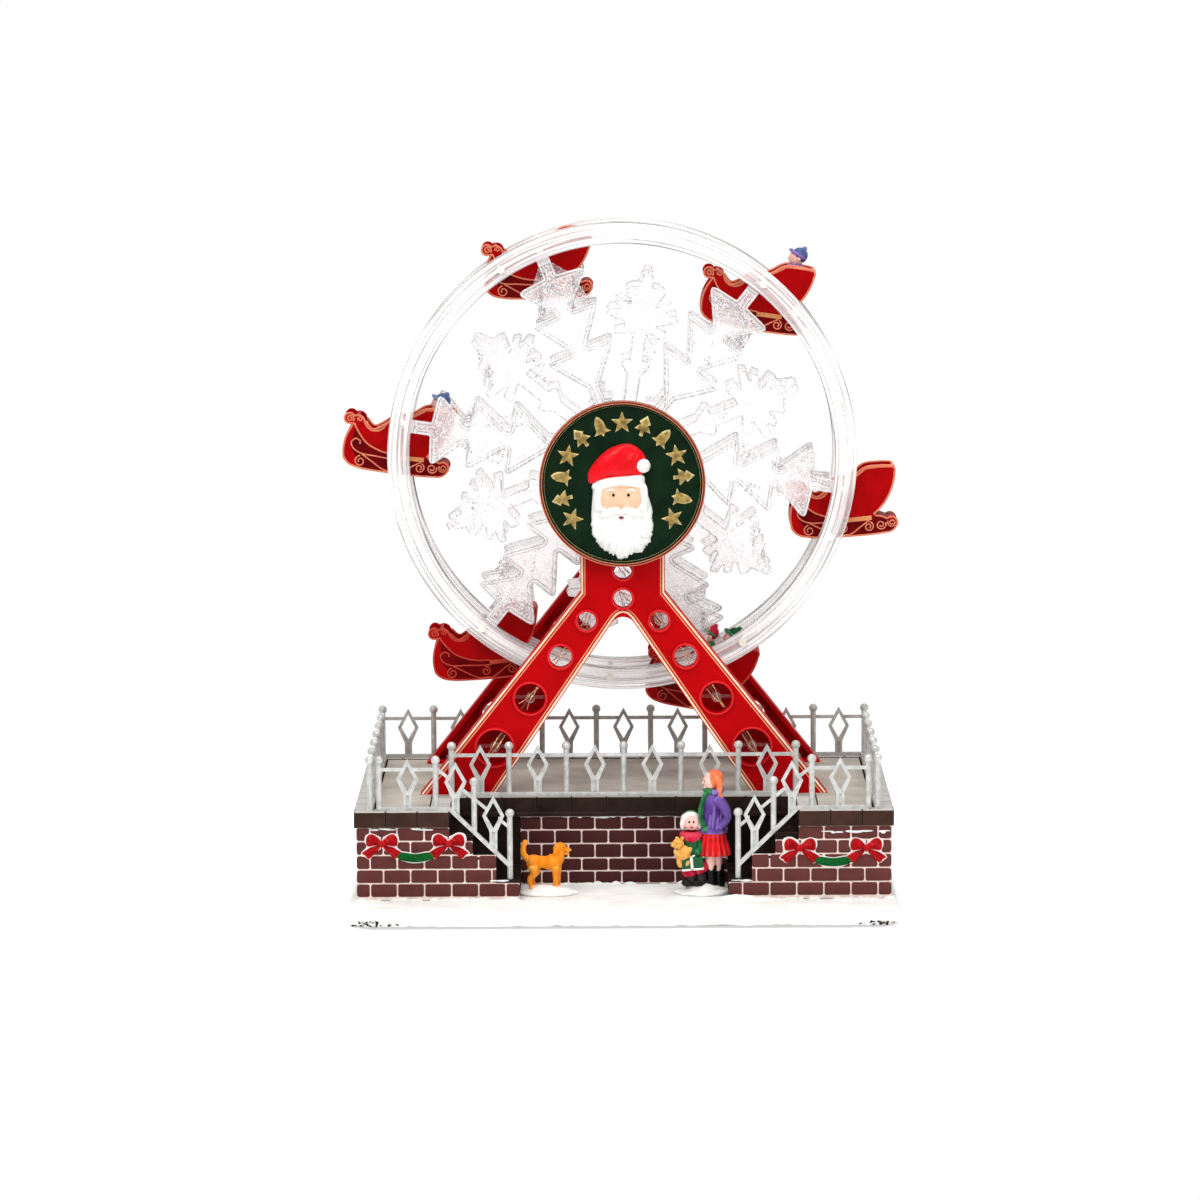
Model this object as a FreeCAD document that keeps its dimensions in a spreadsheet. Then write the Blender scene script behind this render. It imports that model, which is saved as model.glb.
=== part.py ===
import FreeCAD, Part
import math
import os
from collections import namedtuple

import Sketcher
from FreeCAD import Placement, Rotation, Vector

# Musical christmas ferris wheel.
# Frame: X to the right, Y to the rear, Z up; the origin is the middle of the base where it stands.

DRIVING_SIZES = {
    # Ground plate covered with snow
    "base_half_width": 122.5,
    "base_half_depth": 102.0,
    "base_corner": 7.0,
    "base_slope": 25.0,
    "rim_bottom": 1.0,
    "cover_bottom": 1.4,
    "cover_thick": 2.0,
    "snow_top": 8.4,
    "snow_skin": 2.0,
    "snow_wall": 2.6,
    "window_half_width": 99.0,
    "window_front": -30.0,
    "window_rear": 62.0,
    "foot_radius": 6.0,
    # Terrace
    "wall_half_width": 116.6,
    "wall_half_depth": 75.5,
    "wall_thick": 2.5,
    "recess_face": -37.5,
    "stair_half_gap": 45.8,
    "stair_run": 10.2,
    "stair_first_top": 17.2,
    "stair_rise": 10.3,
    "coping_bottom": 40.9,
    "coping_top": 47.6,
    "coping_lip_bottom": 39.0,
    "coping_out": 1.3,
    "coping_band": 8.5,
    "deck_top": 47.4,
    "deck_skin": 2.5,
    "deck_gap": 0.6,
    # Fences
    "fence_set_in": 3.0,
    "fence_bar": 1.4,
    "fence_rail_height": 1.7,
    "fence_rail_depth": 2.4,
    "post_radius": 1.25,
    "ball_radius": 1.95,
    "ball_rise": 22.5,
    "top_rail_rise": 18.4,
    "diamond_half_width": 4.8,
    "diamond_tip_rise": 23.0,
    "diamond_side_rise": 14.2,
    "diamond_foot_rise": 7.2,
    "middle_bay": 25.45,
    "rear_bay": 25.1,
    "rear_end_bay": 23.6,
    # Frames
    "frame_front": -28.8,
    "frame_depth": 9.0,
    "frame_skin": 1.8,
    "frame_gap": 75.5,
    "foot_half_width": 90.6,
    "inner_foot_half_width": 57.2,
    "column_half_width": 18.7,
    "column_round_height": 193.0,
    "splay_height": 137.9,
    "arch_apex": 131.5,
    "arch_round": 6.0,
    "lamp_sleeve": 1.2,
    "lamp_rim_proud": 0.8,
    # Wheel
    "axle_height": 195.0,
    "axle_radius": 2.0,
    "ring_outer": 105.0,
    "ring_inner": 95.6,
    "ring_thick": 5.0,
    "ring_pair_depth": 34.6,
    "pivot_circle": 100.0,
    "flake_thick": 3.0,
    "hub_disc_radius": 14.0,
    "hub_radius": 8.0,
    # Sleighs
    "sleigh_width": 18.0,
    "sleigh_side": 1.4,
    "pin_radius": 1.2,
    "running_gap": 0.05,
    # Medallion
    "medallion_height": 186.9,
    "medallion_radius": 36.7,
    "medallion_rim": 2.1,
    "medallion_front": -36.2,
    "medallion_thick": 3.0,
    # Drive
    "gear_module": 0.8,
    "gear_thick": 3.6,
    "cover_height": 176.0,
    "cover_radius": 34.0,
    "cover_depth": 28.5,
    "cover_wall": 1.8,
    # Battery box and switch
    "cell_radius": 7.1,
    "cell_length": 49.2,
    "cell_pitch": 15.4,
    "battery_floor": 11.2,
    "battery_top": 27.4,
    "battery_half_width": 24.0,
    "door_hinge_height": 10.2,
    "switch_x": 62.0,
    "switch_z": 22.0,
    "switch_travel": 4.0,
}

SLEIGH_ANGLES = [-8.4, 51.6, 111.6, 171.6, 231.6, 291.6]
SLEIGH_TILTS = [5.5, -7.5, 3.0, -5.5, 6.5, -7.0]
AXLE_TEETH = 30
IDLER_SMALL_TEETH = 10
IDLER_LARGE_TEETH = 24
PINION_TEETH = 12
IDLER_DIRECTION = -30.0
PINION_DIRECTION = 208.4
X_AXIS = Vector(1, 0, 0)
Y_AXIS = Vector(0, 1, 0)
Z_AXIS = Vector(0, 0, 1)

doc = FreeCAD.newDocument("christmas_wheel")
sheet = doc.addObject("Spreadsheet::Sheet", "Sizes")
nodes = []


class Size:
    """A number together with the sheet formula that gives it."""

    def __init__(self, value, formula):
        self.value = float(value)
        self.formula = formula

    def __add__(self, other):
        other = as_size(other)
        return Size(self.value + other.value, f"({self.formula} + {other.formula})")

    def __sub__(self, other):
        other = as_size(other)
        return Size(self.value - other.value, f"({self.formula} - {other.formula})")

    def __mul__(self, other):
        other = as_size(other)
        return Size(self.value * other.value, f"({self.formula} * {other.formula})")

    def __truediv__(self, other):
        other = as_size(other)
        return Size(self.value / other.value, f"({self.formula} / {other.formula})")

    def __neg__(self):
        return Size(-self.value, f"(0 - {self.formula})")

    def __radd__(self, other):
        return as_size(other) + self

    def __rsub__(self, other):
        return as_size(other) - self

    def __rmul__(self, other):
        return as_size(other) * self


def as_size(number):
    if isinstance(number, Size):
        return number
    return Size(number, f"({float(number):.6f})")


class SheetSizes:
    """Reads the driving sizes by name."""

    def __getattr__(self, alias):
        return Size(DRIVING_SIZES[alias], f"Sizes.{alias}")


size = SheetSizes()
Circle = namedtuple("Circle", "across up radius")


def fill_sheet():
    for row, (alias, value) in enumerate(DRIVING_SIZES.items(), start=1):
        sheet.set(f"A{row}", alias)
        sheet.set(f"B{row}", str(value))
        sheet.setAlias(f"B{row}", alias)
    doc.recompute()


def bind(item, path, number):
    item.setExpression(path, as_size(number).formula)


def keep(item, name):
    """Registers an object as the finished sub-part of this name."""
    item.Label = name
    nodes.append((name, item))
    return item


# Primitives and booleans


def box(name, across, along, up):
    item = doc.addObject("Part::Box", name)
    for side, base, (low, high) in zip(("Length", "Width", "Height"), "xyz", (across, along, up)):
        bind(item, side, as_size(high) - low)
        bind(item, f"Placement.Base.{base}", low)
    return item


def place(item, turn, base):
    item.Placement = Placement(Vector(), turn)
    for letter, number in zip("xyz", base):
        bind(item, f"Placement.Base.{letter}", number)


def rod(name, axis, radius, centre, low, high):
    """A cylinder along X, Y or Z; the centre gives its other two coordinates in order."""
    item = doc.addObject("Part::Cylinder", name)
    bind(item, "Radius", radius)
    bind(item, "Height", as_size(high) - low)
    if axis == "x":
        place(item, Rotation(Y_AXIS, 90), (low, centre[0], centre[1]))
    elif axis == "y":
        place(item, Rotation(X_AXIS, -90), (centre[0], low, centre[1]))
    else:
        place(item, Rotation(), (centre[0], centre[1], low))
    return item


def ball(name, radius, centre, axis="z"):
    """A sphere with its poles along X, Y or Z; a pole lies inside the shape that it is joined to."""
    turns = {"x": Rotation(Y_AXIS, 90), "y": Rotation(X_AXIS, -90), "z": Rotation()}
    item = doc.addObject("Part::Sphere", name)
    bind(item, "Radius", radius)
    place(item, turns[axis], centre)
    return item


def egg(name, half_sizes, centre):
    """An ellipsoid with its own half size along X, Y and Z."""
    item = doc.addObject("Part::Ellipsoid", name)
    bind(item, "Radius2", half_sizes[0])
    bind(item, "Radius3", half_sizes[1])
    bind(item, "Radius1", half_sizes[2])
    place(item, Rotation(), centre)
    return item


def upright_cone(name, low_radius, high_radius, centre, low, high):
    item = doc.addObject("Part::Cone", name)
    bind(item, "Radius1", low_radius)
    bind(item, "Radius2", high_radius)
    bind(item, "Height", as_size(high) - low)
    place(item, Rotation(), (centre[0], centre[1], low))
    return item


def fuse(name, items):
    item = doc.addObject("Part::MultiFuse", name)
    item.Shapes = items
    item.Refine = True
    return item


def cut(name, base, tool):
    item = doc.addObject("Part::Cut", name)
    item.Base = base
    item.Tool = tool
    return item


def group(name, items):
    item = doc.addObject("Part::Compound", name)
    item.Links = items
    return item


def mirror(name, source, normal, base_letter=None, base=None):
    item = doc.addObject("Part::Mirroring", name)
    item.Source = source
    item.Normal = normal
    if base_letter:
        bind(item, f"Base.{base_letter}", base)
    return item


def solid(name, shape):
    item = doc.addObject("Part::Feature", name)
    item.Shape = shape
    return item


# Bodies made of sketches


def new_body(name):
    return doc.addObject("PartDesign::Body", name)


def lock_point(sketch, geometry, position, across, up):
    """Ties a point of the sketch to the sheet by its distances from the origin."""
    for kind, number in (("DistanceX", as_size(across)), ("DistanceY", as_size(up))):
        if number.value < 0:
            ends = (geometry, position, -1, 1)
            number = -number
        else:
            ends = (-1, 1, geometry, position)
        index = sketch.addConstraint(Sketcher.Constraint(kind, *ends, number.value))
        sketch.setExpression(f"Constraints[{index}]", number.formula)


def draw(body, plane, outlines, height):
    """A sketch of closed outlines: polygons given by their corners, and circles."""
    sketch = body.newObject("Sketcher::SketchObject", f"{body.Name}_sketch")
    origin_plane = [item for item in body.Origin.OriginFeatures if item.Role == plane][0]
    sketch.AttachmentSupport = [(origin_plane, "")]
    sketch.MapMode = "FlatFace"
    bind(sketch, "AttachmentOffset.Base.z", height)
    for outline in outlines:
        if isinstance(outline, Circle):
            across, up, radius = (as_size(number) for number in outline)
            centre = Vector(across.value, up.value, 0)
            index = sketch.addGeometry(Part.Circle(centre, Z_AXIS, radius.value))
            lock_point(sketch, index, 3, across, up)
            rule = sketch.addConstraint(Sketcher.Constraint("Radius", index, radius.value))
            sketch.setExpression(f"Constraints[{rule}]", radius.formula)
            continue
        corners = [(as_size(across), as_size(up)) for across, up in outline]
        vectors = [Vector(across.value, up.value, 0) for across, up in corners]
        first = sketch.GeometryCount
        count = len(corners)
        for index in range(count):
            sketch.addGeometry(Part.LineSegment(vectors[index], vectors[(index + 1) % count]))
        for index in range(count):
            following = first + (index + 1) % count
            sketch.addConstraint(Sketcher.Constraint("Coincident", first + index, 2, following, 1))
        for index, (across, up) in enumerate(corners):
            lock_point(sketch, first + index, 1, across, up)
    return sketch


def pad(body, plane, outlines, low, high):
    """Adds the outlines between two levels; the XZ plane looks towards the front."""
    start = -as_size(high) if plane == "XZ_Plane" else as_size(low)
    feature = body.newObject("PartDesign::Pad", f"{body.Name}_pad")
    feature.Profile = draw(body, plane, outlines, start)
    bind(feature, "Length", as_size(high) - low)
    return feature


def pocket(body, plane, outlines, low, high):
    """Removes the outlines between two levels."""
    start = -as_size(low) if plane == "XZ_Plane" else as_size(high)
    sketch = draw(body, plane, outlines, start)
    feature = body.newObject("PartDesign::Pocket", f"{body.Name}_pocket")
    feature.Profile = sketch
    bind(feature, "Length", as_size(high) - low)
    return feature


def rectangle(across, up):
    return [(across[0], up[0]), (across[1], up[0]), (across[1], up[1]), (across[0], up[1])]


# Base


def make_snow_base():
    body = new_body("snow_base")
    width, depth, corner = size.base_half_width, size.base_half_depth, size.base_corner
    outline = [
        (corner - width, -depth),
        (width - corner, -depth),
        (width, corner - depth),
        (width, depth - corner),
        (width - corner, depth),
        (corner - width, depth),
        (-width, depth - corner),
        (-width, corner - depth),
    ]
    block = pad(body, "XY_Plane", [outline], size.rim_bottom, size.snow_top)
    bind(block, "TaperAngle", -size.base_slope)
    inner_width = size.base_half_width - size.snow_wall
    inner_depth = size.base_half_depth - size.snow_wall
    inner = [
        (corner - inner_width, -inner_depth),
        (inner_width - corner, -inner_depth),
        (inner_width, corner - inner_depth),
        (inner_width, inner_depth - corner),
        (inner_width - corner, inner_depth),
        (corner - inner_width, inner_depth),
        (-inner_width, inner_depth - corner),
        (-inner_width, corner - inner_depth),
    ]
    top_of_cover = size.cover_bottom + size.cover_thick
    pocket(body, "XY_Plane", [inner], size.rim_bottom - 1, top_of_cover)
    shrink = size.snow_wall
    upper = [(across - shrink if across.value > 0 else across + shrink,
              up - shrink if up.value > 0 else up + shrink) for across, up in inner]
    pocket(body, "XY_Plane", [upper], top_of_cover - 1, size.snow_top - size.snow_skin)
    window = rectangle((-size.window_half_width, size.window_half_width),
                       (size.window_front, size.window_rear))
    pocket(body, "XY_Plane", [window], size.snow_top - 4, size.snow_top + 1)
    bosses = [Circle(across, along, 4) for across, along in screw_places()]
    pad(body, "XY_Plane", bosses, top_of_cover, size.snow_top - size.snow_skin)
    holes = [Circle(across, along, 1.35) for across, along in screw_places()]
    pocket(body, "XY_Plane", holes, top_of_cover - 1, size.snow_top - size.snow_skin)
    keep(body, "snow_base")


def screw_places():
    """Where the bottom cover is screwed to the ground plate."""
    across = size.base_half_width - 14
    along = size.base_half_depth - 30
    return [(side * across, place_along) for side in (-1, 1) for place_along in (-along, as_size(0), along)]


def foot_places():
    across = size.base_half_width - 15
    along = size.base_half_depth - 15
    return [(side * across, end * along) for side in (-1, 1) for end in (-1, 1)]


SPEAKER = (68.0, 8.0)
BOARD = ((-95.0, -45.0), (-22.0, 38.0))


def make_bottom_cover():
    body = new_body("bottom_cover")
    half_width = size.base_half_width - size.snow_wall - 0.4
    half_depth = size.base_half_depth - size.snow_wall - 0.4
    corner = size.base_corner
    outline = [
        (corner - half_width, -half_depth),
        (half_width - corner, -half_depth),
        (half_width, corner - half_depth),
        (half_width, half_depth - corner),
        (half_width - corner, half_depth),
        (corner - half_width, half_depth),
        (-half_width, half_depth - corner),
        (-half_width, corner - half_depth),
    ]
    bottom = size.cover_bottom
    top = bottom + size.cover_thick
    pad(body, "XY_Plane", [outline], bottom, top)
    posts = [Circle(across, along, 2) for across in (-92, -48) for along in (-18, 34)]
    pad(body, "XY_Plane", posts, top, top + 8)
    holes = [Circle(SPEAKER[0], SPEAKER[1], 1.4)]
    for ring, count in ((6.0, 6), (12.0, 12)):
        for step in range(count):
            turn = math.radians(360 * step / count)
            holes.append(Circle(SPEAKER[0] + ring * math.cos(turn), SPEAKER[1] + ring * math.sin(turn), 1.4))
    holes += [Circle(across, along, 1.5) for across, along in screw_places()]
    pocket(body, "XY_Plane", holes, bottom - 1, top + 1)
    seats = [Circle(across, along, 2.9) for across, along in screw_places()]
    pocket(body, "XY_Plane", seats, bottom - 1, bottom + 1.2)
    keep(body, "bottom_cover")


def make_base_fittings():
    screws = []
    for index, (across, along) in enumerate(screw_places()):
        head = rod(f"base_screw_head_{index}", "z", 2.6, (across, along), size.cover_bottom + 0.1, size.cover_bottom + 1.2)
        shank = rod(f"base_screw_shank_{index}", "z", 1.3, (across, along), size.cover_bottom + 1, size.snow_top - 2.4)
        screws.append(fuse(f"base_screw_{index}", [head, shank]))
    keep(group("base_screws", screws), "base_screws")
    feet = [rod(f"rubber_foot_{index}", "z", size.foot_radius, centre, 0, size.cover_bottom)
            for index, centre in enumerate(foot_places())]
    keep(group("rubber_feet", feet), "rubber_feet")


def make_terrace():
    body = new_body("brick_terrace")
    width, depth, thick = size.wall_half_width, size.wall_half_depth, size.wall_thick
    gap, face = size.stair_half_gap, size.recess_face
    outline = [
        (-width, -depth),
        (-gap, -depth),
        (-gap, face),
        (gap, face),
        (gap, -depth),
        (width, -depth),
        (width, depth),
        (-width, depth),
    ]
    pad(body, "XY_Plane", [outline], size.snow_top, size.coping_bottom)
    for side in (-1, 1):
        for step in range(3):
            near = side * (gap + size.stair_run * step)
            far = side * (gap + size.stair_run * (step + 1))
            notch = rectangle((near, far), (-depth - 1, face))
            pocket(body, "XY_Plane", [notch], size.stair_first_top + size.stair_rise * step, size.coping_bottom + 1)
    ceiling = size.coping_bottom - thick
    hall = rectangle((thick - width, width - thick), (face + thick, depth - thick))
    pocket(body, "XY_Plane", [hall], size.snow_top - 1, ceiling)
    stair_end = gap + size.stair_run * 3
    for side in (-1, 1):
        chamber = rectangle((side * (stair_end + 1), side * (width - thick)), (thick - depth, face + thick + 1))
        pocket(body, "XY_Plane", [chamber], size.snow_top - 1, ceiling)
        under_stairs = rectangle((side * (gap + thick), side * (stair_end - 2)), (thick - depth, face - thick))
        pocket(body, "XY_Plane", [under_stairs], size.snow_top - 1, size.stair_first_top - thick)
    opening = rectangle((-size.battery_half_width, size.battery_half_width), (size.battery_floor, size.battery_top))
    slot = rectangle((size.switch_x - 3, size.switch_x + 7), (size.switch_z - 1.6, size.switch_z + 1.6))
    pocket(body, "XZ_Plane", [opening, slot], depth - thick - 1, depth + 1)
    ears = [rectangle((side * 27.2, side * 30.0), (size.snow_top, size.door_hinge_height + 1.9)) for side in (-1, 1)]
    pad(body, "XZ_Plane", ears, depth, depth + 2.8)
    hinge = Circle(depth + 1.1, size.door_hinge_height, 1.05 + 0.05)
    pocket(body, "YZ_Plane", [hinge], -31, 31)
    keep(body, "brick_terrace")


def coping_polygon(grow):
    """The coping's outline, grown outwards from the band's outer edge."""
    width = size.wall_half_width + size.coping_out + grow
    depth = size.wall_half_depth + size.coping_out + grow
    inner_end = size.stair_half_gap + size.stair_run * 3 - grow
    face = size.recess_face - size.coping_out - grow
    return [
        (-width, -depth),
        (-inner_end, -depth),
        (-inner_end, face),
        (inner_end, face),
        (inner_end, -depth),
        (width, -depth),
        (width, depth),
        (-width, depth),
    ]


def make_coping_and_deck():
    body = new_body("wall_coping")
    pad(body, "XY_Plane", [coping_polygon(as_size(0)), coping_polygon(-size.coping_band)],
        size.coping_bottom, size.coping_top)
    inner_end = size.stair_half_gap + size.stair_run * 3
    lip = rectangle((-inner_end, inner_end), (size.recess_face - size.coping_out, size.recess_face))
    pad(body, "XY_Plane", [lip], size.coping_lip_bottom, size.coping_bottom + 1)
    keep(body, "wall_coping")
    deck = new_body("deck_floor")
    edge = -size.coping_band - size.deck_gap
    pad(deck, "XY_Plane", [coping_polygon(edge)], size.coping_bottom, size.deck_top)
    pocket(deck, "XY_Plane", [coping_polygon(edge - 2)], size.coping_bottom - 1, size.deck_top - size.deck_skin)
    pocket(deck, "XY_Plane", [Circle(across, along, 1.35) for across, along in frame_screw_places()],
           size.coping_bottom, size.deck_top + 1)
    keep(deck, "deck_floor")


# Fences


STEM_SHARE = 1.2
GAP_SHARE = 0.5


def diamond(centre, rise_left, rise_right, foot_left, foot_right, tip):
    """Outlines of one open diamond on two stems; its foot levels may differ on a slope."""
    half = size.diamond_half_width
    bar = size.fence_bar
    side = tip - size.diamond_tip_rise + size.diamond_side_rise
    neck = tip - size.diamond_tip_rise + size.diamond_foot_rise
    stem = bar * STEM_SHARE
    gap = bar * GAP_SHARE
    outer = [
        (centre, tip),
        (centre - half, side),
        (centre - stem, neck),
        (centre - stem, foot_left),
        (centre + stem, foot_right),
        (centre + stem, neck),
        (centre + half, side),
    ]
    hole = [
        (centre, tip - bar * 2),
        (centre - half + bar * 1.15, side),
        (centre, neck + bar),
        (centre + half - bar * 1.15, side),
    ]
    slit = [
        (centre - gap, neck - bar * 0.1),
        (centre - gap, rise_left),
        (centre + gap, rise_right),
        (centre + gap, neck - bar * 0.1),
    ]
    return [outer, hole, slit]


def along_band(along, half):
    return along - half, along + half


def make_post(name, plane, across, along, foot, ball_height):
    """A round post with a ball on top."""
    centre = (across, along) if plane == "XZ_Plane" else (along, across)
    return [
        rod(f"{name}_post", "z", size.post_radius, centre, foot, ball_height),
        ball(f"{name}_ball", size.ball_radius, (centre[0], centre[1], ball_height)),
    ]


def repeat(body, features, pitch, count):
    """Repeats features along the horizontal axis of the first one's sketch."""
    pattern = body.newObject("PartDesign::LinearPattern", f"{body.Name}_pattern")
    pattern.Originals = features
    pattern.Direction = (features[0].Profile[0], ["H_Axis"])
    pattern.Occurrences = count
    bind(pattern, "Length", pitch * (count - 1))
    body.Tip = pattern
    return pattern


def add_bay(body, plane, along, start, bay):
    """One bay's diamond and the top rail on both sides of it."""
    foot = size.coping_top
    rail_top = foot + size.fence_rail_height
    thin = along_band(along, size.fence_bar / 2)
    middle = start + bay / 2
    reach = size.diamond_half_width * 0.35
    level = (foot + size.top_rail_rise - 0.7, foot + size.top_rail_rise + 0.7)
    bars = [rectangle((start, middle - reach), level), rectangle((middle + reach, start + bay), level)]
    loop = diamond(middle, rail_top, rail_top, rail_top - 0.5, rail_top - 0.5, foot + size.diamond_tip_rise)
    return [pad(body, plane, loop, *thin), pad(body, plane, bars, *thin)]


def straight_fence(name, plane, along, start, bay, count, end_bay=None, last_post=True):
    """A level fence of equal bays, with a narrower bay at each end where one is given.

    Without its last post it ends against a post of the next fence.
    """
    body = new_body(f"{name}_bars")
    foot = size.coping_top
    rail_top = foot + size.fence_rail_height
    finish = start + bay * count
    low_end, high_end = start, finish
    if end_bay:
        low_end, high_end = start - end_bay, finish + end_bay
    rail_end = high_end + size.post_radius if last_post else high_end
    rail = rectangle((low_end - size.post_radius, rail_end), (foot, rail_top))
    pad(body, plane, [rail], *along_band(along, size.fence_rail_depth / 2))
    repeat(body, add_bay(body, plane, along, start, bay), bay, count)
    places = [start + bay * step for step in range(count + 1)]
    if end_bay:
        add_bay(body, plane, along, low_end, end_bay)
        add_bay(body, plane, along, finish, end_bay)
        places = [low_end] + places + [high_end]
    if not last_post:
        places.pop()
    posts = []
    for index, place_of in enumerate(places):
        posts += make_post(f"{name}_{index}", plane, place_of, along, rail_top - 0.5, foot + size.ball_rise)
    return keep(fuse(name, [body] + posts), name)


def make_straight_fences():
    front = -size.wall_half_depth + size.fence_set_in
    middle_along = size.recess_face + size.fence_set_in
    straight_fence("centre_fence", "XZ_Plane", middle_along, size.middle_bay * -3, size.middle_bay, 6)
    rear = size.wall_half_depth - size.fence_set_in
    straight_fence("rear_fence", "XZ_Plane", rear, size.rear_bay * -3.5, size.rear_bay, 7, size.rear_end_bay)
    side_bay = (rear - front - size.post_radius - 0.05) / 6
    left = straight_fence("left_side_fence", "YZ_Plane", 5.6 - size.wall_half_width, front, side_bay, 6,
                          last_post=False)
    keep(mirror("right_side_fence", left, X_AXIS), "right_side_fence")


STAIR_POSTS = ((-65.4, 60.4), (-49.9, 46.4))
STAIR_DIAMONDS = ((-73.5, 69.2), (-57.1, 54.2))


def make_stair_fences():
    """The front fence of the left block, which runs down its stair; the right one mirrors it."""
    body = new_body("left_front_fence_bars")
    along = -size.wall_half_depth + size.fence_set_in
    foot = size.coping_top
    rail_top = foot + size.fence_rail_height
    bend = as_size(-76.4)
    stair_foot = as_size(STAIR_POSTS[1][0])
    low_end = size.stair_first_top + 4.8
    start = as_size(-106.9)
    bay = as_size(24.7)
    depth = along_band(along, size.fence_rail_depth / 2)
    thin = along_band(along, size.fence_bar / 2)
    rail = [
        (start, foot),
        (bend, foot),
        (stair_foot, low_end),
        (stair_foot, low_end + 2.4),
        (bend + 0.6, rail_top),
        (start, rail_top),
    ]
    pad(body, "XZ_Plane", [rail], *depth)
    top_rail = foot + size.top_rail_rise
    upper_bend = as_size(-81.2)
    middle = start + bay / 2
    reach = size.diamond_half_width * 0.35
    pad(body, "XZ_Plane", diamond(middle, rail_top, rail_top, rail_top - 0.5, rail_top - 0.5,
                                  foot + size.diamond_tip_rise), *thin)
    pad(body, "XZ_Plane", [
        rectangle((start, middle - reach), (top_rail - 0.7, top_rail + 0.7)),
        rectangle((middle + reach, upper_bend), (top_rail - 0.7, top_rail + 0.7)),
    ], *thin)
    fall = (top_rail - 40.0) / (stair_foot - upper_bend)
    upper = [upper_bend - 0.5]
    for across, _ in STAIR_DIAMONDS:
        upper += [as_size(across) - 2.7, as_size(across) + 2.2]
    upper.append(stair_foot)
    for begin, end in zip(upper[::2], upper[1::2]):
        begin_up = top_rail - fall * (begin - upper_bend)
        end_up = top_rail - fall * (end - upper_bend)
        pad(body, "XZ_Plane", [[(begin, begin_up - 0.8), (end, end_up - 0.8), (end, end_up + 0.8),
                                (begin, begin_up + 0.8)]], *thin)
    slope = (rail_top - low_end - 2.4) / (stair_foot - bend)
    stem = size.fence_bar * STEM_SHARE
    gap = size.fence_bar * GAP_SHARE
    for across, tip in STAIR_DIAMONDS:
        centre = as_size(across)
        levels = [rail_top - slope * (centre + offset - bend) for offset in (-gap, gap, -stem, stem)]
        levels[2] = levels[2] - 0.5
        levels[3] = levels[3] - 0.5
        pad(body, "XZ_Plane", diamond(centre, *levels, as_size(tip)), *thin)
    posts = make_post("front_corner", "XZ_Plane", start, along, rail_top - 0.5, foot + size.ball_rise)
    posts += make_post("stair_head", "XZ_Plane", start + bay, along, rail_top - 0.5, foot + size.ball_rise)
    middle_foot = rail_top - slope * (STAIR_POSTS[0][0] - bend) - 1
    posts += make_post("stair_middle", "XZ_Plane", as_size(STAIR_POSTS[0][0]), along, middle_foot,
                       as_size(STAIR_POSTS[0][1]))
    posts += make_post("stair_foot", "XZ_Plane", stair_foot, along, size.stair_first_top,
                       as_size(STAIR_POSTS[1][1]))
    fence = keep(fuse("left_front_fence", [body] + posts), "left_front_fence")
    keep(mirror("right_front_fence", fence, X_AXIS), "right_front_fence")


# Garlands, bows and figures

BOW_PLACES = ((-105.8, 34.3), (-76.6, 34.2), (76.9, 31.6), (105.8, 31.6))
GARLAND_PLACES = ((-91.2, 27.8), (91.35, 25.1))


def make_bows_and_garlands():
    face = -size.wall_half_depth
    half = [(0.9, 1.6), (3.2, 3.4), (5.6, 3.6), (7.2, 1.6), (6.6, -2.0), (3.4, -1.6), (8.7, -5.0), (5.9, -7.2),
            (1.8, -2.9)]
    outline = [(0, 1.0)] + half + [(0, -2.6)] + [(-x, z) for x, z in reversed(half)]
    bows = []
    for index, (across, up) in enumerate(BOW_PLACES):
        body = new_body(f"bow_{index}")
        pad(body, "XZ_Plane", [[(across + x, up + z) for x, z in outline]], face - 2.6, face)
        bows.append(body)
    keep(group("bows", bows), "bows")
    sweep = [(-5.4, 1.7), (0, 1.2), (5.4, 1.7), (7.2, -0.2), (4.5, -1.4), (0, -1.9), (-4.5, -1.4), (-7.2, -0.2)]
    garlands = []
    for index, (across, up) in enumerate(GARLAND_PLACES):
        body = new_body(f"garland_{index}")
        pad(body, "XZ_Plane", [[(across + x, up + z) for x, z in sweep]], face - 2.0, face)
        garlands.append(body)
    keep(group("garlands", garlands), "garlands")


def make_woman_and_child():
    ground = size.snow_top
    along = as_size(-60.0)
    woman = (as_size(39.4), along)
    child = (as_size(30.4), along - 1)
    pieces = [
        upright_cone("figure_mound", 9.6, 8.8, (as_size(35.4), along), ground, ground + 2.4),
        upright_cone("boots", 3.4, 3.0, woman, ground + 2, ground + 17),
        upright_cone("skirt", 6.4, 5.4, woman, ground + 16.4, ground + 27),
        upright_cone("coat", 6.8, 3.6, woman, ground + 26, ground + 46.5),
        egg("scarf", (4.2, 4.0, 1.9), (woman[0], along, ground + 46.4)),
        ball("woman_head", 4.0, (woman[0] - 0.3, along, ground + 50.6)),
        egg("hair", (4.4, 4.4, 4.4), (woman[0] + 0.9, along + 0.4, ground + 51.0)),
        egg("woman_arm", (4.6, 3.4, 3.2), (woman[0] - 5.2, along - 2, ground + 37)),
        upright_cone("child_legs", 2.8, 3.2, child, ground + 2, ground + 13),
        upright_cone("child_coat", 5.6, 3.4, child, ground + 12, ground + 28),
        ball("child_head", 4.0, (child[0], child[1], ground + 31.4)),
        egg("child_hat", (4.3, 4.3, 2.8), (child[0], child[1] + 0.4, ground + 34.2)),
        egg("toy_bear", (3.0, 2.6, 4.2), (child[0] - 3.4, along - 4.6, ground + 22)),
        box("gift", (child[0] + 0.2, child[0] + 6.4), (along - 7.6, along - 3), (ground + 14, ground + 20.4)),
    ]
    keep(fuse("woman_and_child", pieces), "woman_and_child")


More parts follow.
